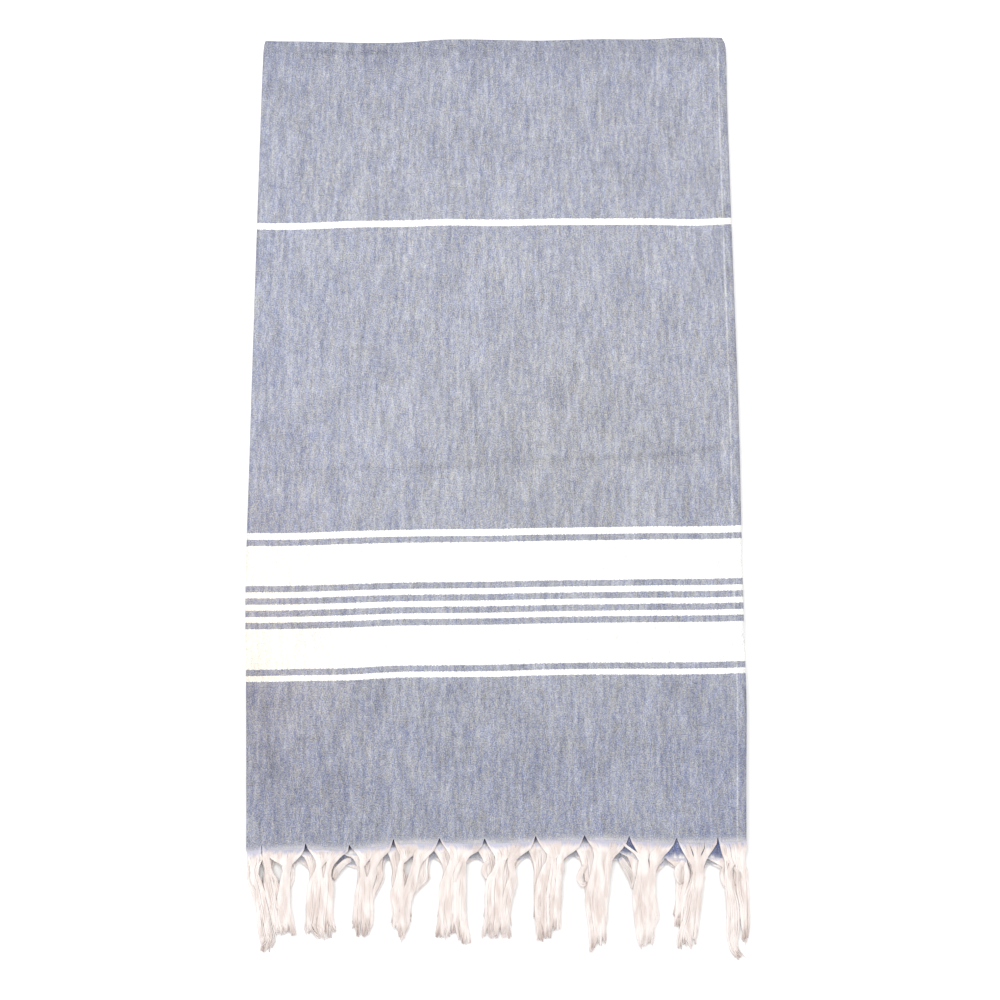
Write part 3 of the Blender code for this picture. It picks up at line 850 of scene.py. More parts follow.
# %% The locks of the front tassels
Lock = namedtuple("Lock", "start end level drops middles widths")
FRONT_LOCKS = rows_of(
    Lock,
    # its root's start and end, its level, then drops, middles and widths from root to tip, in millimetres
    (0.5, 14, 3, (7.5, 15, 21.5, 28, 33.5, 39, 45.5, 54, 63, 72.5, 81.5, 89, 95.5),
     (9, 10.5, 9.5, 10, 11.5, 13.5, 15.5, 16.5, 18, 19, 20.5, 22, 20.5),
     (12.5, 13, 8.5, 5.5, 7.5, 6.5, 7.5, 10, 11.5, 12.5, 13, 12.5, 7.5)),
    (15, 30, 2, (10, 15, 20.5, 26, 31.5, 39, 47.5, 56.5, 66, 78),
     (20.5, 20.5, 22, 23, 25, 26, 28, 30, 31.5, 34),
     (7, 7, 6, 6.5, 12, 15, 15, 14, 12, 10)),
    (19, 56, 3, (7.5, 11, 15, 18.5, 22.5, 27, 31.5, 39, 47.5, 57.5, 66, 74.5, 81.5),
     (37.5, 37.5, 38, 39.5, 40.5, 39.5, 39, 38.5, 38, 37.5, 39, 40, 41.5),
     (36, 30.5, 21.5, 10.5, 7, 7, 8, 10, 11, 11.5, 12.5, 13.5, 15)),
    (57, 78, 3, (7.5, 11, 15, 19.5, 24, 29.5, 35.5, 43, 52, 61.5, 70.5, 78, 84.5),
     (72.5, 73.5, 73.5, 71.5, 70.5, 69.5, 68.5, 68, 67.5, 67, 66.5, 66, 69),
     (21.5, 17, 12, 4.5, 6.5, 9.5, 14.5, 15.5, 15.5, 16, 14.5, 15, 18)),
    (78, 98, 2, (7.5, 11, 15, 19.5, 24, 29.5, 35.5, 44.5, 54, 63, 72.5, 82.5),
     (90, 86, 83.5, 81, 80, 79, 79.5, 79.5, 79, 78.5, 78.5, 79),
     (14.5, 11, 10, 7, 5.5, 6, 9.5, 11, 10, 10.5, 12.5, 15)),
    (99, 120.5, 3, (7.5, 11, 15, 19.5, 25, 29.5, 37, 46.5, 56.5, 66, 72.5, 79),
     (113.5, 114.5, 114, 111.5, 111.5, 113, 112.5, 111.5, 111, 110, 110, 111.5),
     (17, 13, 8.5, 4.5, 4, 5.5, 9.5, 12.5, 13, 13, 13, 12.5)),
    (120.5, 140.5, 2, (7.5, 11, 15, 20.5, 25, 29.5, 37, 46.5, 56.5, 66, 74.5, 80),
     (129, 126.5, 124, 122.5, 122, 120.5, 118, 116.5, 116.5, 116.5, 116.5, 116),
     (15.5, 12, 9.5, 6, 5.5, 7.5, 8.5, 9.5, 11.5, 11.5, 10.5, 7.5)),
    (141.5, 162, 2, (6.5, 10, 14, 18.5, 24, 30.5, 37, 43.5, 50, 56.5, 65, 74.5),
     (154.5, 153.5, 152, 148, 147.5, 147, 147, 145.5, 144.5, 144.5, 145, 143),
     (18.5, 12.5, 6.5, 4.5, 5.5, 6.5, 9.5, 11.5, 10.5, 7, 6, 5.5)),
    (162, 184.5, 3, (5.5, 9.5, 14, 18.5, 24, 29.5, 35.5, 42, 48.5, 55, 63, 70.5, 77, 82.5),
     (172, 168, 166, 163, 162, 160, 159, 157, 154.5, 152, 151, 150.5, 150.5, 150.5),
     (16, 16, 11, 9, 7.5, 8.5, 10, 11, 11, 12.5, 13, 13, 11, 5)),
    (185.5, 207, 3, (5.5, 10, 15, 19.5, 25, 31.5, 39, 48.5, 59.5, 68.5, 77, 85.5),
     (199.5, 200.5, 200, 198, 196.5, 193.5, 191.5, 191.5, 192, 190.5, 189, 188),
     (15, 11.5, 9, 9.5, 10.5, 10.5, 12, 12.5, 12.5, 13, 12.5, 10.5)),
    (207, 228, 2, (4.5, 8.5, 12, 16, 21.5, 28, 35.5, 46.5, 59.5, 68.5, 77, 85.5),
     (215.5, 212.5, 208.5, 207, 206.5, 205, 204, 203.5, 204, 204.5, 206, 207),
     (16.5, 12, 6.5, 6, 7, 9, 11.5, 12.5, 12, 12, 12, 12)),
    (229, 253, 3, (5.5, 10, 15, 19.5, 25, 31.5, 39, 48.5, 59.5, 68.5, 76, 83.5),
     (243.5, 244.5, 243.5, 242, 240.5, 237.5, 237, 236.5, 236.5, 236, 234.5, 233),
     (19, 15, 8.5, 8.5, 9, 13, 17.5, 19, 19, 19, 19.5, 19)),
    (253, 277, 2, (3.5, 7.5, 11, 15, 19.5, 24, 29, 34.5, 41, 48.5, 57.5, 67, 74.5, 82.5),
     (262.5, 259.5, 256.5, 253.5, 252.5, 254, 254.5, 254, 252, 250, 249, 248, 247, 247),
     (19, 15, 11, 7, 6, 5.5, 6.5, 9, 10, 9, 8, 7, 7.5, 8.5)),
    (278, 302, 3, (5.5, 10, 15, 20.5, 26, 33.5, 43, 52, 63, 72.5, 83.5),
     (292, 293, 291, 289.5, 288.5, 287.5, 286.5, 285.5, 285, 284.5, 284.5),
     (16, 10.5, 7.5, 12.5, 16.5, 20.5, 22, 21.5, 20.5, 19.5, 17)),
    (302, 324, 2, (3.5, 7.5, 11, 15, 20.5, 26, 33.5, 43, 54, 65, 75),
     (308.5, 305, 301.5, 299, 299.5, 299.5, 298, 298, 297.5, 296.5, 296),
     (16.5, 12.5, 9, 5.5, 6, 4.5, 5, 5.5, 5.5, 6, 6)),
    (325, 346, 3, (2, 6.5, 11, 16, 21.5, 27, 33.5, 41, 48.5, 56.5, 65, 74.5, 82.5, 91, 94.5),
     (337.5, 338.5, 338, 336, 335, 335, 334.5, 333.5, 332, 332, 332.5, 333, 332.5, 331.5, 330.5),
     (15, 12.5, 11, 8.5, 10, 12.5, 15, 17, 17.5, 17.5, 16.5, 15.5, 12.5, 7.5, 3.5)),
    (346, 367, 2, (2, 5.5, 9.5, 13, 18.5, 24, 31.5, 41, 50, 59.5, 68.5, 76, 83.5, 89),
     (353, 351, 348, 345.5, 345, 344.5, 343.5, 342.5, 341.5, 341, 341, 339.5, 339, 339.5),
     (15.5, 12.5, 11, 7, 7.5, 5.5, 6, 7, 6.5, 6, 6, 5.5, 6.5, 5.5)),
    (359, 362, 4, (3, 6, 9.5, 15, 27, 42, 60, 84),
     (363.5, 368, 372.5, 376, 379, 378, 379, 378),
     (3, 3.5, 3.5, 3.5, 3, 3, 3, 3)),
    (368, 391, 3, (2, 6.5, 11, 16, 21.5, 28, 35.5, 43.5, 53, 62, 70.5, 78, 86.5, 94.5),
     (379, 380, 379, 378.5, 378.5, 379, 378, 377, 377, 378, 378.5, 378, 378, 378),
     (18, 14, 7, 8, 10, 13, 15, 17, 17.5, 17.5, 17, 14, 12, 8.5)),
    (391, 412.5, 2, (2, 5.5, 9.5, 13, 18.5, 24, 30.5, 39, 48.5, 57.5, 67, 72.5, 80, 86.5, 92.5),
     (397, 395, 392.5, 389.5, 389, 387.5, 386, 385.5, 385.5, 386.5, 387.5, 385.5, 382.5, 383, 384),
     (18.5, 16.5, 15, 11.5, 8.5, 6, 6.5, 7.5, 9, 10, 11, 10.5, 8, 7, 7.5)),
    (413.5, 424, 3, (2, 7.5, 13, 18.5, 25, 32.5, 40, 48.5, 56.5, 65, 72.5, 80.5, 89, 96.5),
     (418.5, 420.5, 423, 426.5, 428, 428, 427, 425.5, 424, 422.5, 420.5, 418, 416.5, 416),
     (9, 7.5, 6.5, 5.5, 5, 6, 8, 10, 10.5, 10.5, 11.5, 13, 14, 12)),
    (424.5, 439.5, 2, (2.5, 7.5, 13, 18.5, 25, 33.5, 44.5, 56.5, 68.5, 80, 89),
     (430, 430, 429.5, 430, 430.5, 430.5, 429, 427.5, 425.5, 424, 424.5),
     (13, 7, 6, 4.5, 4.5, 4.5, 5.5, 6.5, 7, 8, 9.5)),
    (440, 452, 3, (2, 5.5, 9.5, 14, 19.5, 26, 32.5, 41, 50, 60.5, 70.5, 81.5, 89),
     (442.5, 440.5, 438, 435, 433, 432.5, 432.5, 432, 431, 430, 428.5, 427.5, 427),
     (10, 7.5, 6.5, 6, 5, 5, 5, 4.5, 3.5, 4, 3, 3, 4)),
    (453, 464, 3, (2, 7.5, 13, 18.5, 24, 30.5, 38, 45.5, 55, 65, 74.5, 82.5, 91, 97.5, 104.5),
     (457.5, 458.5, 459, 461.5, 458.5, 459, 459, 461, 462.5, 463, 463, 462, 462.5, 463, 468),
     (11, 10.5, 9.5, 7.5, 6, 7, 6.5, 9.5, 11, 11.5, 12, 12, 9, 8.5, 6.5)),
    (464, 472, 2, (2, 7.5, 13, 18.5, 24, 30.5, 37, 45.5, 55, 65, 74.5, 86.5),
     (466.5, 467, 467, 468.5, 469, 469, 469.5, 470, 471.5, 472.5, 473, 474),
     (7.5, 6.5, 6.5, 6, 5, 5.5, 6, 6.5, 5.5, 5, 5.5, 6.5)),
    (472, 479, 3, (2, 7.5, 13, 18.5, 24, 30.5, 38, 47.5, 59.5, 72.5, 84.5),
     (474, 473, 472, 472.5, 474, 474.5, 475, 475.5, 475.5, 476, 476.5),
     (7.5, 5, 4.5, 3.5, 4.5, 4.5, 4.5, 4.5, 4, 4.5, 4)),
)
print("locks in the front tassels:", len(FRONT_LOCKS))

# %% [markdown]
# The tassels of the other three rows lie under these and are only glimpsed between them. Each is written
# more briefly, by its root, knot, waist and tip, and a rule makes two locks of it. Some knots also show a
# loop of yarn that stands out at their side.

# %% The tassels of the rows below
Tassel = namedtuple(
    "Tassel", "end knot_x knot_drop knot_width parting waist_x waist_width tip_x tip_width tips"
)
BEHIND_TASSELS = rows_of(
    Tassel,
    # root's end; knot's place, drop, width and parting between its locks; waist; tip; drops of the two tips
    (8, 6, 26, 5, 0, 12, 5, 16, 4, (69, 71)),
    (48, 31.5, 22, 26, 14, 28, 22, 30, 20, (71, 75)),
    (93, 71, 28, 17, 0, 69, 17, 70, 17, (62, 66)),
    (133, 119, 24, 22, 0, 114, 14, 115, 13, (58, 62)),
    (177, 157, 25, 32, 13, 149, 14, 149, 13, (64, 70)),
    (219, 197, 23, 16, 0, 194, 15, 192, 15, (69, 73)),
    (268, 242, 27, 24, 0, 240, 20, 238, 20, (69, 73)),
    (312, 285, 25, 19, 0, 284, 17, 283, 16, (65, 71)),
    (357, 331, 36, 14, 0, 332, 13, 334, 12, (72, 78)),
    (402, 376, 34, 13, 0, 379, 12, 380, 12, (73, 77)),
    (443, 423, 24, 24, 3, 416, 12, 415, 12, (74, 78)),
    (477, 464, 22, 20, 2, 468, 11, 467, 10, (64, 68)),
)
Loop = namedtuple("Loop", "width height path")
LOOPS = rows_of(
    Loop,
    # width and height of the loop, then (place along the hem, drop), in millimetres
    (3, 4.5, ((7, 22.5), (6.5, 28), (7.5, 33.5), (9.5, 38), (13.5, 40))),
    (5.5, 4, ((101, 14.5), (96, 16.5), (91.5, 20.5), (87.5, 25), (85.5, 29.5), (84, 33))),
    (3, 4.5, ((126, 16.5), (125, 22.5), (123.5, 29), (122, 35.5), (119.5, 39))),
    (3.5, 5, ((164.5, 16.5), (164.5, 21.5), (162, 26), (158, 27))),
    (4, 9, ((208, 13), (205.5, 17.5), (202.5, 23), (200.5, 29.5), (200, 37))),
    (4, 6, ((233, 16), (229, 18.5), (227, 23), (227.5, 28), (230, 31), (233, 29))),
    (4.5, 7, ((295.5, 11), (299, 15), (300.5, 20.5), (300.5, 25), (298.5, 28), (295.5, 26))),
    (4.5, 6, ((326, 19.5), (321.5, 23), (318, 29), (318, 34.5), (321, 38), (325, 35.5))),
    (6.5, 4, ((356.5, 13), (360.5, 19.5), (364.5, 26), (367.5, 33), (369, 41))),
    (5.5, 6, ((418, 15), (414, 19.5), (411, 24.5), (411, 29.5), (413, 34), (416, 37))),
    (3, 4.5, ((454.5, 22.5), (453, 27), (453, 32.5), (455, 38), (458, 41))),
    (5.5, 5, ((463, 19), (467, 23), (469.5, 28), (469, 34), (466, 39))),
    (3, 5, ((473.5, 20.5), (476, 24), (476, 29.5), (475, 36.5), (472.5, 41))),
)
FIRST_ROOT = 1.0
LAST_ROOT = 477
ROOT_GAP = 0.6  # between two tassels' roots, at each side
ARM_LEAN = 0.62  # how much of the way to the knot an arm has leaned at its first station
KNOT_STEP = 8  # from that station to the knot, at least, and from the knot to the next station
WIDER, CLOSER = 1.05, 0.6  # below its knot a tassel widens and its locks close
WAIST_DROP = 52


def locks_of(tassels, shift, arm_drop):
    """Two locks for each tassel, side by side, moved along the hem by a few millimetres."""
    locks = []
    start = FIRST_ROOT
    for tassel in tassels:
        end = min(tassel.end + shift, LAST_ROOT)
        knot = tassel.knot_x + shift
        knot_drop = max(tassel.knot_drop, arm_drop + KNOT_STEP)
        arms = (start + end) / 2 * (1 - ARM_LEAN) + knot * ARM_LEAN
        arm_width = (end - start) * (1 - ARM_LEAN) + tassel.knot_width * ARM_LEAN
        root = (start + ROOT_GAP, (start + end) / 2, end - ROOT_GAP)
        for half, tip in enumerate(tassel.tips):
            stations = (
                # drop, middle, width and parting
                (arm_drop, arms, arm_width, tassel.parting * ARM_LEAN),
                (knot_drop, knot, tassel.knot_width, tassel.parting),
                (knot_drop + KNOT_STEP, knot, tassel.knot_width * WIDER, tassel.parting * CLOSER),
                (WAIST_DROP, tassel.waist_x + shift, tassel.waist_width, 0),
                (tip, tassel.tip_x + shift, tassel.tip_width, 0),
            )
            path = [
                (drop, x + (width + parting) * (half / 2 - 0.25), (width - parting) / 2)
                for drop, x, width, parting in stations
            ]
            locks.append(Lock(root[half], root[half + 1], 1 + half, *zip(*path)))
        start = end
    return locks


print("locks in a row below:", len(locks_of(BEHIND_TASSELS, 0, 14)))

# %% [markdown]
# ## From locks to yarns
#
# Each lock is filled with guide lines, one for each yarn. They start inside the hem in their order on the
# loom, and then lie round an oval bundle that is as wide as the lock, and thicker where the yarns crowd.
# Half of them run over the top of the bundle and half under it, with a slow twist, so a tassel has a smooth
# round back as a real one does. A row of the fringe starts at the height of its layer and comes down to
# rest on what is below it.

# %% Guide lines for the yarns
Row = namedtuple("Row", "locks side end heights spacing fullness")
ROWS_FRONT = (
    # locks, half of the width, half of the length, height at four drops, yarn spacing, thickness of bundles
    Row(FRONT_LOCKS, 1, 1, (5.9, 3.7, 1.8, 0.6), 0.46, 1.0),
    Row(locks_of(BEHIND_TASSELS, 0, 13), -1, 1, (3.9, 2.4, 1.2, 0.6), 0.65, 0.8),
)
ROWS_BACK = (
    Row(locks_of(BEHIND_TASSELS, 1.5, 17), -1, -1, (2.0, 1.5, 0.9, 0.5), 0.95, 0.7),
    Row(locks_of(BEHIND_TASSELS, -0.8, 15), 1, -1, (0.5, 0.5, 0.5, 0.5), 0.95, 0.7),
)
# lengths from here on are in millimetres
HEIGHT_DROPS = (22, 55, 82, 108)
LEVEL_RISE = 0.4  # from one level of locks to the next
LOWEST = 0.75  # past the hem, no guide line comes nearer to the floor
FEWEST = 6  # yarns in a lock
TUCK = 0.9  # how far a yarn starts inside the hem
FIRST_DROP = 1.5  # the first station of a yarn lies at least this far below its hem
MOST_CROWDED = 4  # a root counts as at most this many times as wide as its lock
ROUND_CROWD = 0.6  # a bundle is flat where its yarns have room, and round where they crowd this much
LEAST_ROUND = 0.1
THICKNESS = (0.66, 0.33)  # a bundle thickens with the root of its crowding
TIP_THICKNESS = 0.6
CIRCLE, EVEN = 0.2, 0.3  # yarns lie partly as on a circle and partly evenly, in shares of the width
TWIST = 0.9  # the most that a bundle turns over TWIST_LENGTH, in radians
TWIST_LENGTH = 60
SLANT = 6  # the most that a lock's end is cut aslant
CLUMP = 5.0  # the ends of a lock stick together in clumps about this wide
CLUMP_CHANGE = (3.0, 1.2)  # how much the clumps differ in length and in place
GATHER = 0.4  # how far a yarn's end has gone to the middle of its clump
CUT = 1.5  # how much the yarns differ in length
STRAY_SHARE = 0.08
STRAY = 1.6  # about how far the stray yarns have gone at STRAY_DROP
STRAY_DROP = 80
UNEVEN = (0.15, 0.05)  # how much the other yarns differ in place, and all yarns in height
LOOP_YARNS = 15
LOOP_ENDS = (0.12, 0.88)  # the part of a whole arch that shows
LOOP_RISE = 1.2
LOOP_DEPTH = 0.35
LOOP_UNEVEN = 0.08


def bundle_lines(row, lock, rng):
    """The guide lines of one lock's yarns, in metres from the towel's corner."""
    drops, middle, width = np.array(lock[3:], float)
    root_width = lock.end - lock.start
    count = max(FEWEST, round(root_width / row.spacing))
    at_tip = drops == drops[-1]
    crowd = np.clip(root_width / width, 1, MOST_CROWDED)
    round_share = np.clip((crowd - 1) / ROUND_CROWD, LEAST_ROUND, 1)
    half_height = row.fullness * (THICKNESS[0] * np.sqrt(crowd) - THICKNESS[1])
    half_height = half_height * np.where(at_tip, TIP_THICKNESS, 1)
    rest = smooth_curve(HEIGHT_DROPS, row.heights, drops) + LEVEL_RISE * (lock.level - 1)
    twist = rng.uniform(-TWIST, TWIST) * drops / TWIST_LENGTH
    slant = rng.uniform(-SLANT, SLANT)
    clumps = rng.normal(0, CLUMP_CHANGE, (round(width[-1] / CLUMP) + 1, 2))
    lines = []
    for number in range(count):
        share = (number + 0.5) / count
        u = np.full(2, row.side * across((lock.start + share * root_width) * MM))
        v = HEM_V + np.array([-TUCK, 0.0]) * MM - (notch_bite(u) if row.end > 0 else 0)
        root = fold(u, row.end * v)
        turn = (math.pi if number % 2 else -math.pi) * share + twist
        flat_place = (share - 0.5) * width
        cosine = np.cos(turn)
        oval_place = width * (-CIRCLE * cosine - EVEN * np.arcsin(cosine) * 2 / math.pi)
        strays = rng.random() < STRAY_SHARE
        aside = rng.normal(0, STRAY) * (drops / STRAY_DROP) ** 2 if strays else rng.normal(0, UNEVEN[0])
        x = middle + flat_place * (1 - round_share) + oval_place * round_share + aside
        z = np.maximum(rest + half_height * (1 + np.sin(turn)) + rng.normal(0, UNEVEN[1]), LOWEST)
        clump = int(share * len(clumps))
        cut = clumps[clump, 0] + rng.normal(0, CUT) + slant * (share - 0.5)
        drop = drops + np.where(at_tip, cut, 0)
        gather = ((clump + 0.5) / len(clumps) - share) * width[-1] * GATHER + clumps[clump, 1]
        x = x + np.where(at_tip, gather, 0)
        path = np.stack([x, -drop, z], axis=1)[drop > -root[1, 1] / MM + FIRST_DROP] * MM
        lines.append(np.concatenate([root, path]))
    return lines


def loop_lines(loop, rng):
    """The guide lines of the yarns in one loop of a knot."""
    place = np.array(loop.path, float) * (1, -1)
    ahead = np.gradient(place, axis=0)
    aside = np.stack([-ahead[:, 1], ahead[:, 0]], axis=1) / np.hypot(*ahead.T)[:, None]
    swell = np.sin(np.linspace(*LOOP_ENDS, len(place)) * math.pi)
    lines = []
    for number in range(LOOP_YARNS):
        turn = 2 * math.pi * number / LOOP_YARNS
        flat = place + aside * (0.5 * loop.width * math.cos(turn) * (0.5 + 0.5 * swell))[:, None]
        z = (loop.height + LOOP_RISE) * swell + LOOP_DEPTH * loop.width * math.sin(turn)
        z = z + rng.normal(0, LOOP_UNEVEN)
        lines.append(np.column_stack([flat, np.maximum(z, LOWEST)]) * MM)
    return lines


def guide_mesh(name, rows, loops, seed):
    """A mesh of loose edges, with one chain for each yarn."""
    rng = np.random.default_rng(seed)
    lines = [line for row in rows for lock in row.locks for line in bundle_lines(row, lock, rng)]
    lines += [line for loop in loops for line in loop_lines(loop, rng)]
    points = np.concatenate(lines) + TOWEL_CORNER
    edges = []
    start = 0
    for line in lines:
        edges += [(start + i, start + i + 1) for i in range(len(line) - 1)]
        start += len(line)
    mesh = bpy.data.meshes.new(name)
    mesh.from_pydata(points.tolist(), edges, [])
    print(name, "has", len(lines), "yarns")
    return add_object(name, mesh)


fringe_front = guide_mesh("fringe_front_yarns", ROWS_FRONT, LOOPS, seed=11)
fringe_back = guide_mesh("fringe_back_yarns", ROWS_BACK, (), seed=12)

# %% [markdown]
# ## Spinning the yarns
#
# A Geometry Nodes tree turns every guide line into a yarn: a smooth curve, a slight wave that grows towards
# the tip, and a small round section swept along it. Its inputs are the yarn's sizes and a seed. Each yarn
# also gets a random shade, stored as an attribute that the material reads.

# %% Geometry Nodes: spun yarns
OWN_WAVE = 0.02  # a yarn's own shade moves its wave so far, so that no two yarns wave alike
WAVE_GROWTH = 1.5


def spun_yarn_tree():
    tree = bpy.data.node_groups.new("spun yarns", "GeometryNodeTree")
    for label, kind, default in (
        ("Geometry", "Geometry", None),
        ("Yarn Width", "Float", 0.0008),
        ("Sides", "Int", 3),
        ("Points", "Int", 16),
        ("Wave", "Float", 0.0006),
        ("Wave Size", "Float", 0.012),
        ("Seed", "Int", 1),
        ("Material", "Material", None),
    ):
        socket = tree.interface.new_socket(label, in_out="INPUT", socket_type="NodeSocket" + kind)
        if default is not None:
            socket.default_value = default
    tree.interface.new_socket("Geometry", in_out="OUTPUT", socket_type="NodeSocketGeometry")
    given = Outputs(tree, tree.nodes.new("NodeGroupInput").outputs)
    curve = node(tree, "GeometryNodeMeshToCurve", {"Mesh": given["Geometry"]})[0]
    curve = node(tree, "GeometryNodeCurveSplineType", {"Curve": curve}, spline_type="CATMULL_ROM")[0]
    curve = node(tree, "GeometryNodeResampleCurve", {"Curve": curve, "Count": given["Points"]})[0]

    shade = node(tree, "FunctionNodeRandomValue", {"Seed": given["Seed"]}, data_type="FLOAT")[1]
    stored = {"Geometry": curve, "Name": "yarn shade", "Value": shade}
    curve = node(tree, "GeometryNodeStoreNamedAttribute", stored, domain="CURVE")[0]
    along = node(tree, "GeometryNodeSplineParameter")["Factor"]
    stored = {"Geometry": curve, "Name": "yarn tip", "Value": along}
    curve = node(tree, "GeometryNodeStoreNamedAttribute", stored)[0]

    own = node(tree, "GeometryNodeInputNamedAttribute", {"Name": "yarn shade"})[0]
    apart = node(tree, "ShaderNodeCombineXYZ", {"Z": own * OWN_WAVE})[0]
    position = node(tree, "GeometryNodeInputPosition")[0]
    spot = node(tree, "ShaderNodeVectorMath", {0: position, 1: apart}, operation="ADD")[0]
    scale = node(tree, "ShaderNodeMath", {0: 1.0, 1: given["Wave Size"]}, operation="DIVIDE")[0]
    ways = {0: noise(spot, scale)["Color"], 1: (0.5, 0.5, 0.5)}
    way = node(tree, "ShaderNodeVectorMath", ways, operation="SUBTRACT")[0]
    reach = along**WAVE_GROWTH * given["Wave"] * 2.0  # noise strays by a half at most
    wave = node(tree, "ShaderNodeVectorMath", {0: way, "Scale": reach}, operation="SCALE")[0]
    curve = node(tree, "GeometryNodeSetPosition", {"Geometry": curve, "Offset": wave})[0]

    circle = {"Resolution": given["Sides"], "Radius": given["Yarn Width"] * 0.5}
    section = node(tree, "GeometryNodeCurvePrimitiveCircle", circle)[0]
    swept = {"Curve": curve, "Profile Curve": section, "Fill Caps": True}
    yarns = node(tree, "GeometryNodeCurveToMesh", swept)[0]
    yarns = node(tree, "GeometryNodeSetShadeSmooth", {"Geometry": yarns, "Shade Smooth": True})[0]
    yarns = node(tree, "GeometryNodeRealizeInstances", {"Geometry": yarns})[0]
    yarns = node(tree, "GeometryNodeSetMaterial", {"Geometry": yarns, "Material": given["Material"]})[0]
    feed(tree.nodes.new("NodeGroupOutput").inputs["Geometry"], yarns)
    return tree


spun_yarns = spun_yarn_tree()
print("tree inputs:", [item.name for item in spun_yarns.interface.items_tree if item.item_type == "SOCKET"])

# %% [markdown]
# ## Warp ends: the yarn's own finish
#
# The free warp is undyed cotton, a warm white, matt and a little fuzzy. The last wefts lie loosely among
# its first few millimetres, so the blue fades out there. Each yarn has its own shade and the tips are a
# little grey from handling.

# %% Material: warp ends
YARN_LIGHT = (0.980, 0.922, 0.894, 1)
YARN_SHADE = (0.775, 0.680, 0.640, 1)
TIP_SHADE = (0.500, 0.405, 0.375, 1)
LAST_WEFTS = (0.350, 0.395, 0.600, 1)
FUZZ = {"scale": 900.0, "detail": 2.0}
BLOTCHES = {"scale": 170.0, "detail": 1.0}
LENGTHWISE = (1.0, 0.25, 1.0)
OWN_SHARE, FUZZ_SHARE, PATCH_SHARE = 0.16, 0.25, 0.59  # what the shade of a spot comes from
LAST_WEFT_REACH = (0.095, 0.005)  # along the yarn, where the last wefts stop showing and where they show most
LAST_WEFT_COVER = 0.58
LAST_WEFT_RAGGED = 0.07
SOILED_FROM = 0.87
PATCH_RANGE = (0.38, 0.64)
YARN_BUMP = (0.4, 0.0002)


def yarn_material(name):
    material, tree, put = new_material(name, {"Roughness": 0.9, "Specular IOR Level": 0.2})
    own = node(tree, "ShaderNodeAttribute", attribute_name="yarn shade")["Fac"]
    along = node(tree, "ShaderNodeAttribute", attribute_name="yarn tip")["Fac"]
    place = node(tree, "ShaderNodeTexCoord")["Object"]
    stretched = node(tree, "ShaderNodeMapping", {"Vector": place, "Scale": LENGTHWISE})[0]
    fuzz = noise(stretched, **FUZZ)["Fac"]
    patch = remap(noise(stretched, **BLOTCHES)["Fac"], *PATCH_RANGE)
    cotton = mix_colour(own * OWN_SHARE + fuzz * FUZZ_SHARE + patch * PATCH_SHARE, YARN_LIGHT, YARN_SHADE)
    often = own * 0.5 + patch * 0.5
    ragged = along + (often - 0.5) * LAST_WEFT_RAGGED
    cotton = mix_colour(remap(ragged, *LAST_WEFT_REACH) ** 1.5 * LAST_WEFT_COVER, cotton, LAST_WEFTS)
    soiled = remap(along, SOILED_FROM, 1.0) * often
    feed(put["Base Color"], mix_colour(soiled, cotton, TIP_SHADE))
    feed(put["Normal"], bump(fuzz, *YARN_BUMP))
    return material


def spin(obj, sizes):
    """Runs the yarn tree on an object's guide lines and keeps the result as its mesh."""
    modifier = obj.modifiers.new("spun yarns", "NODES")
    modifier.node_group = spun_yarns
    inputs = [item for item in spun_yarns.interface.items_tree if item.in_out == "INPUT"]
    sockets = {item.name: item.identifier for item in inputs}
    for label, value in sizes.items():
        modifier[sockets[label]] = value
    return finished(obj)


warp_ends = yarn_material("warp_ends_cotton")
spin(fringe_front, {"Yarn Width": 0.00126, "Points": 16, "Seed": 3, "Material": warp_ends})
spin(fringe_back, {"Yarn Width": 0.00105, "Points": 14, "Seed": 5, "Material": warp_ends})
print("yarn triangles:", triangles(fringe_front), triangles(fringe_back))

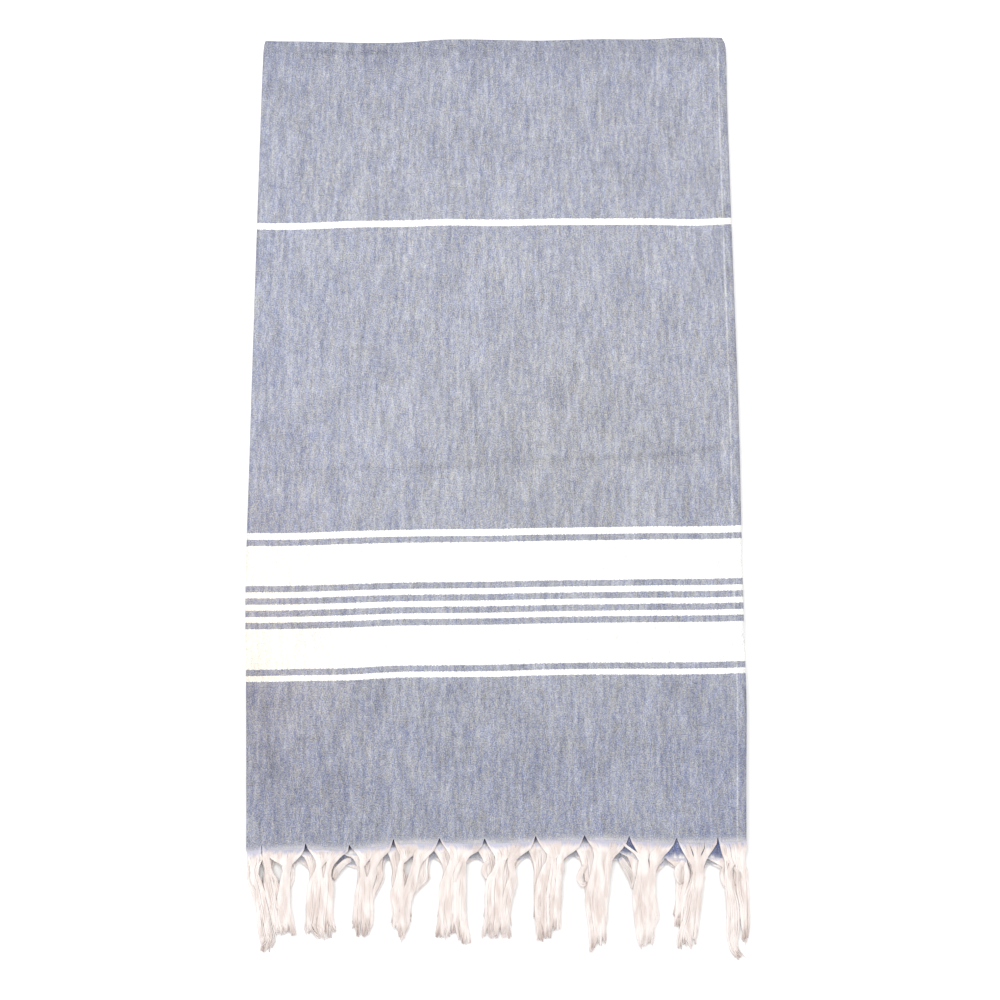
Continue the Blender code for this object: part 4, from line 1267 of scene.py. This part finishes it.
# %% [markdown]
# ## Floor and light
#
# The towel lies on a plain pale floor, under soft light that comes from all round and a little more from
# the top.

# %% Floor, sky and lamp
FLOOR_HALF = 40.0
FLOOR_Z = -0.0002
FLOOR_WHITE = (0.96, 0.96, 0.96, 1)
LAMP_PLACE = (-0.35, 0.7, 2.2)
LAMP_SIZE = 2.0
LAMP_POWER = 40
SKY_WHITE = (1, 1, 1, 1)
SKY_STRENGTH = 0.92


def add_floor():
    mesh = bpy.data.meshes.new("floor")
    corners = [(x * FLOOR_HALF, y * FLOOR_HALF, 0) for x, y in ((-1, -1), (1, -1), (1, 1), (-1, 1))]
    mesh.from_pydata(corners, [], [(0, 1, 2, 3)])
    floor = add_object("floor", mesh)
    floor.location.z = FLOOR_Z
    paint, _, _ = new_material("pale_floor", {"Base Color": FLOOR_WHITE, "Roughness": 0.95})
    mesh.materials.append(paint)


def add_softbox():
    """A large soft lamp above the top fold. It leans, so the light is a little weaker towards the fringe."""
    light = bpy.data.lights.new("softbox", "AREA")
    light.shape = "SQUARE"
    light.size = LAMP_SIZE
    light.energy = LAMP_POWER
    lamp = add_object("softbox", light)
    x, y, z = LAMP_PLACE
    lamp.location = LAMP_PLACE
    lamp.rotation_euler = (math.atan2(y, z), math.atan2(x, math.hypot(y, z)), 0)


def add_sky():
    world = bpy.data.worlds.new("sky")
    world.use_nodes = True
    put = world.node_tree.nodes["Background"].inputs
    feed(put["Color"], SKY_WHITE)
    feed(put["Strength"], SKY_STRENGTH)
    bpy.context.scene.world = world


add_floor()
add_softbox()
add_sky()
bpy.context.scene.view_settings.view_transform = "Standard"
print("lit")

# %% [markdown]
# ## The pieces on their body
#
# Every piece rides on the towel's one body and stands for its solid, which is hidden.

for piece, solid, slot in (
    (cloth, "towel_cloth", "woven_cloth"),
    (fringe_front, "fringe_front", "warp_ends"),
    (fringe_back, "fringe_back", "warp_ends"),
):
    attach(piece, "root")
    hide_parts(solid)
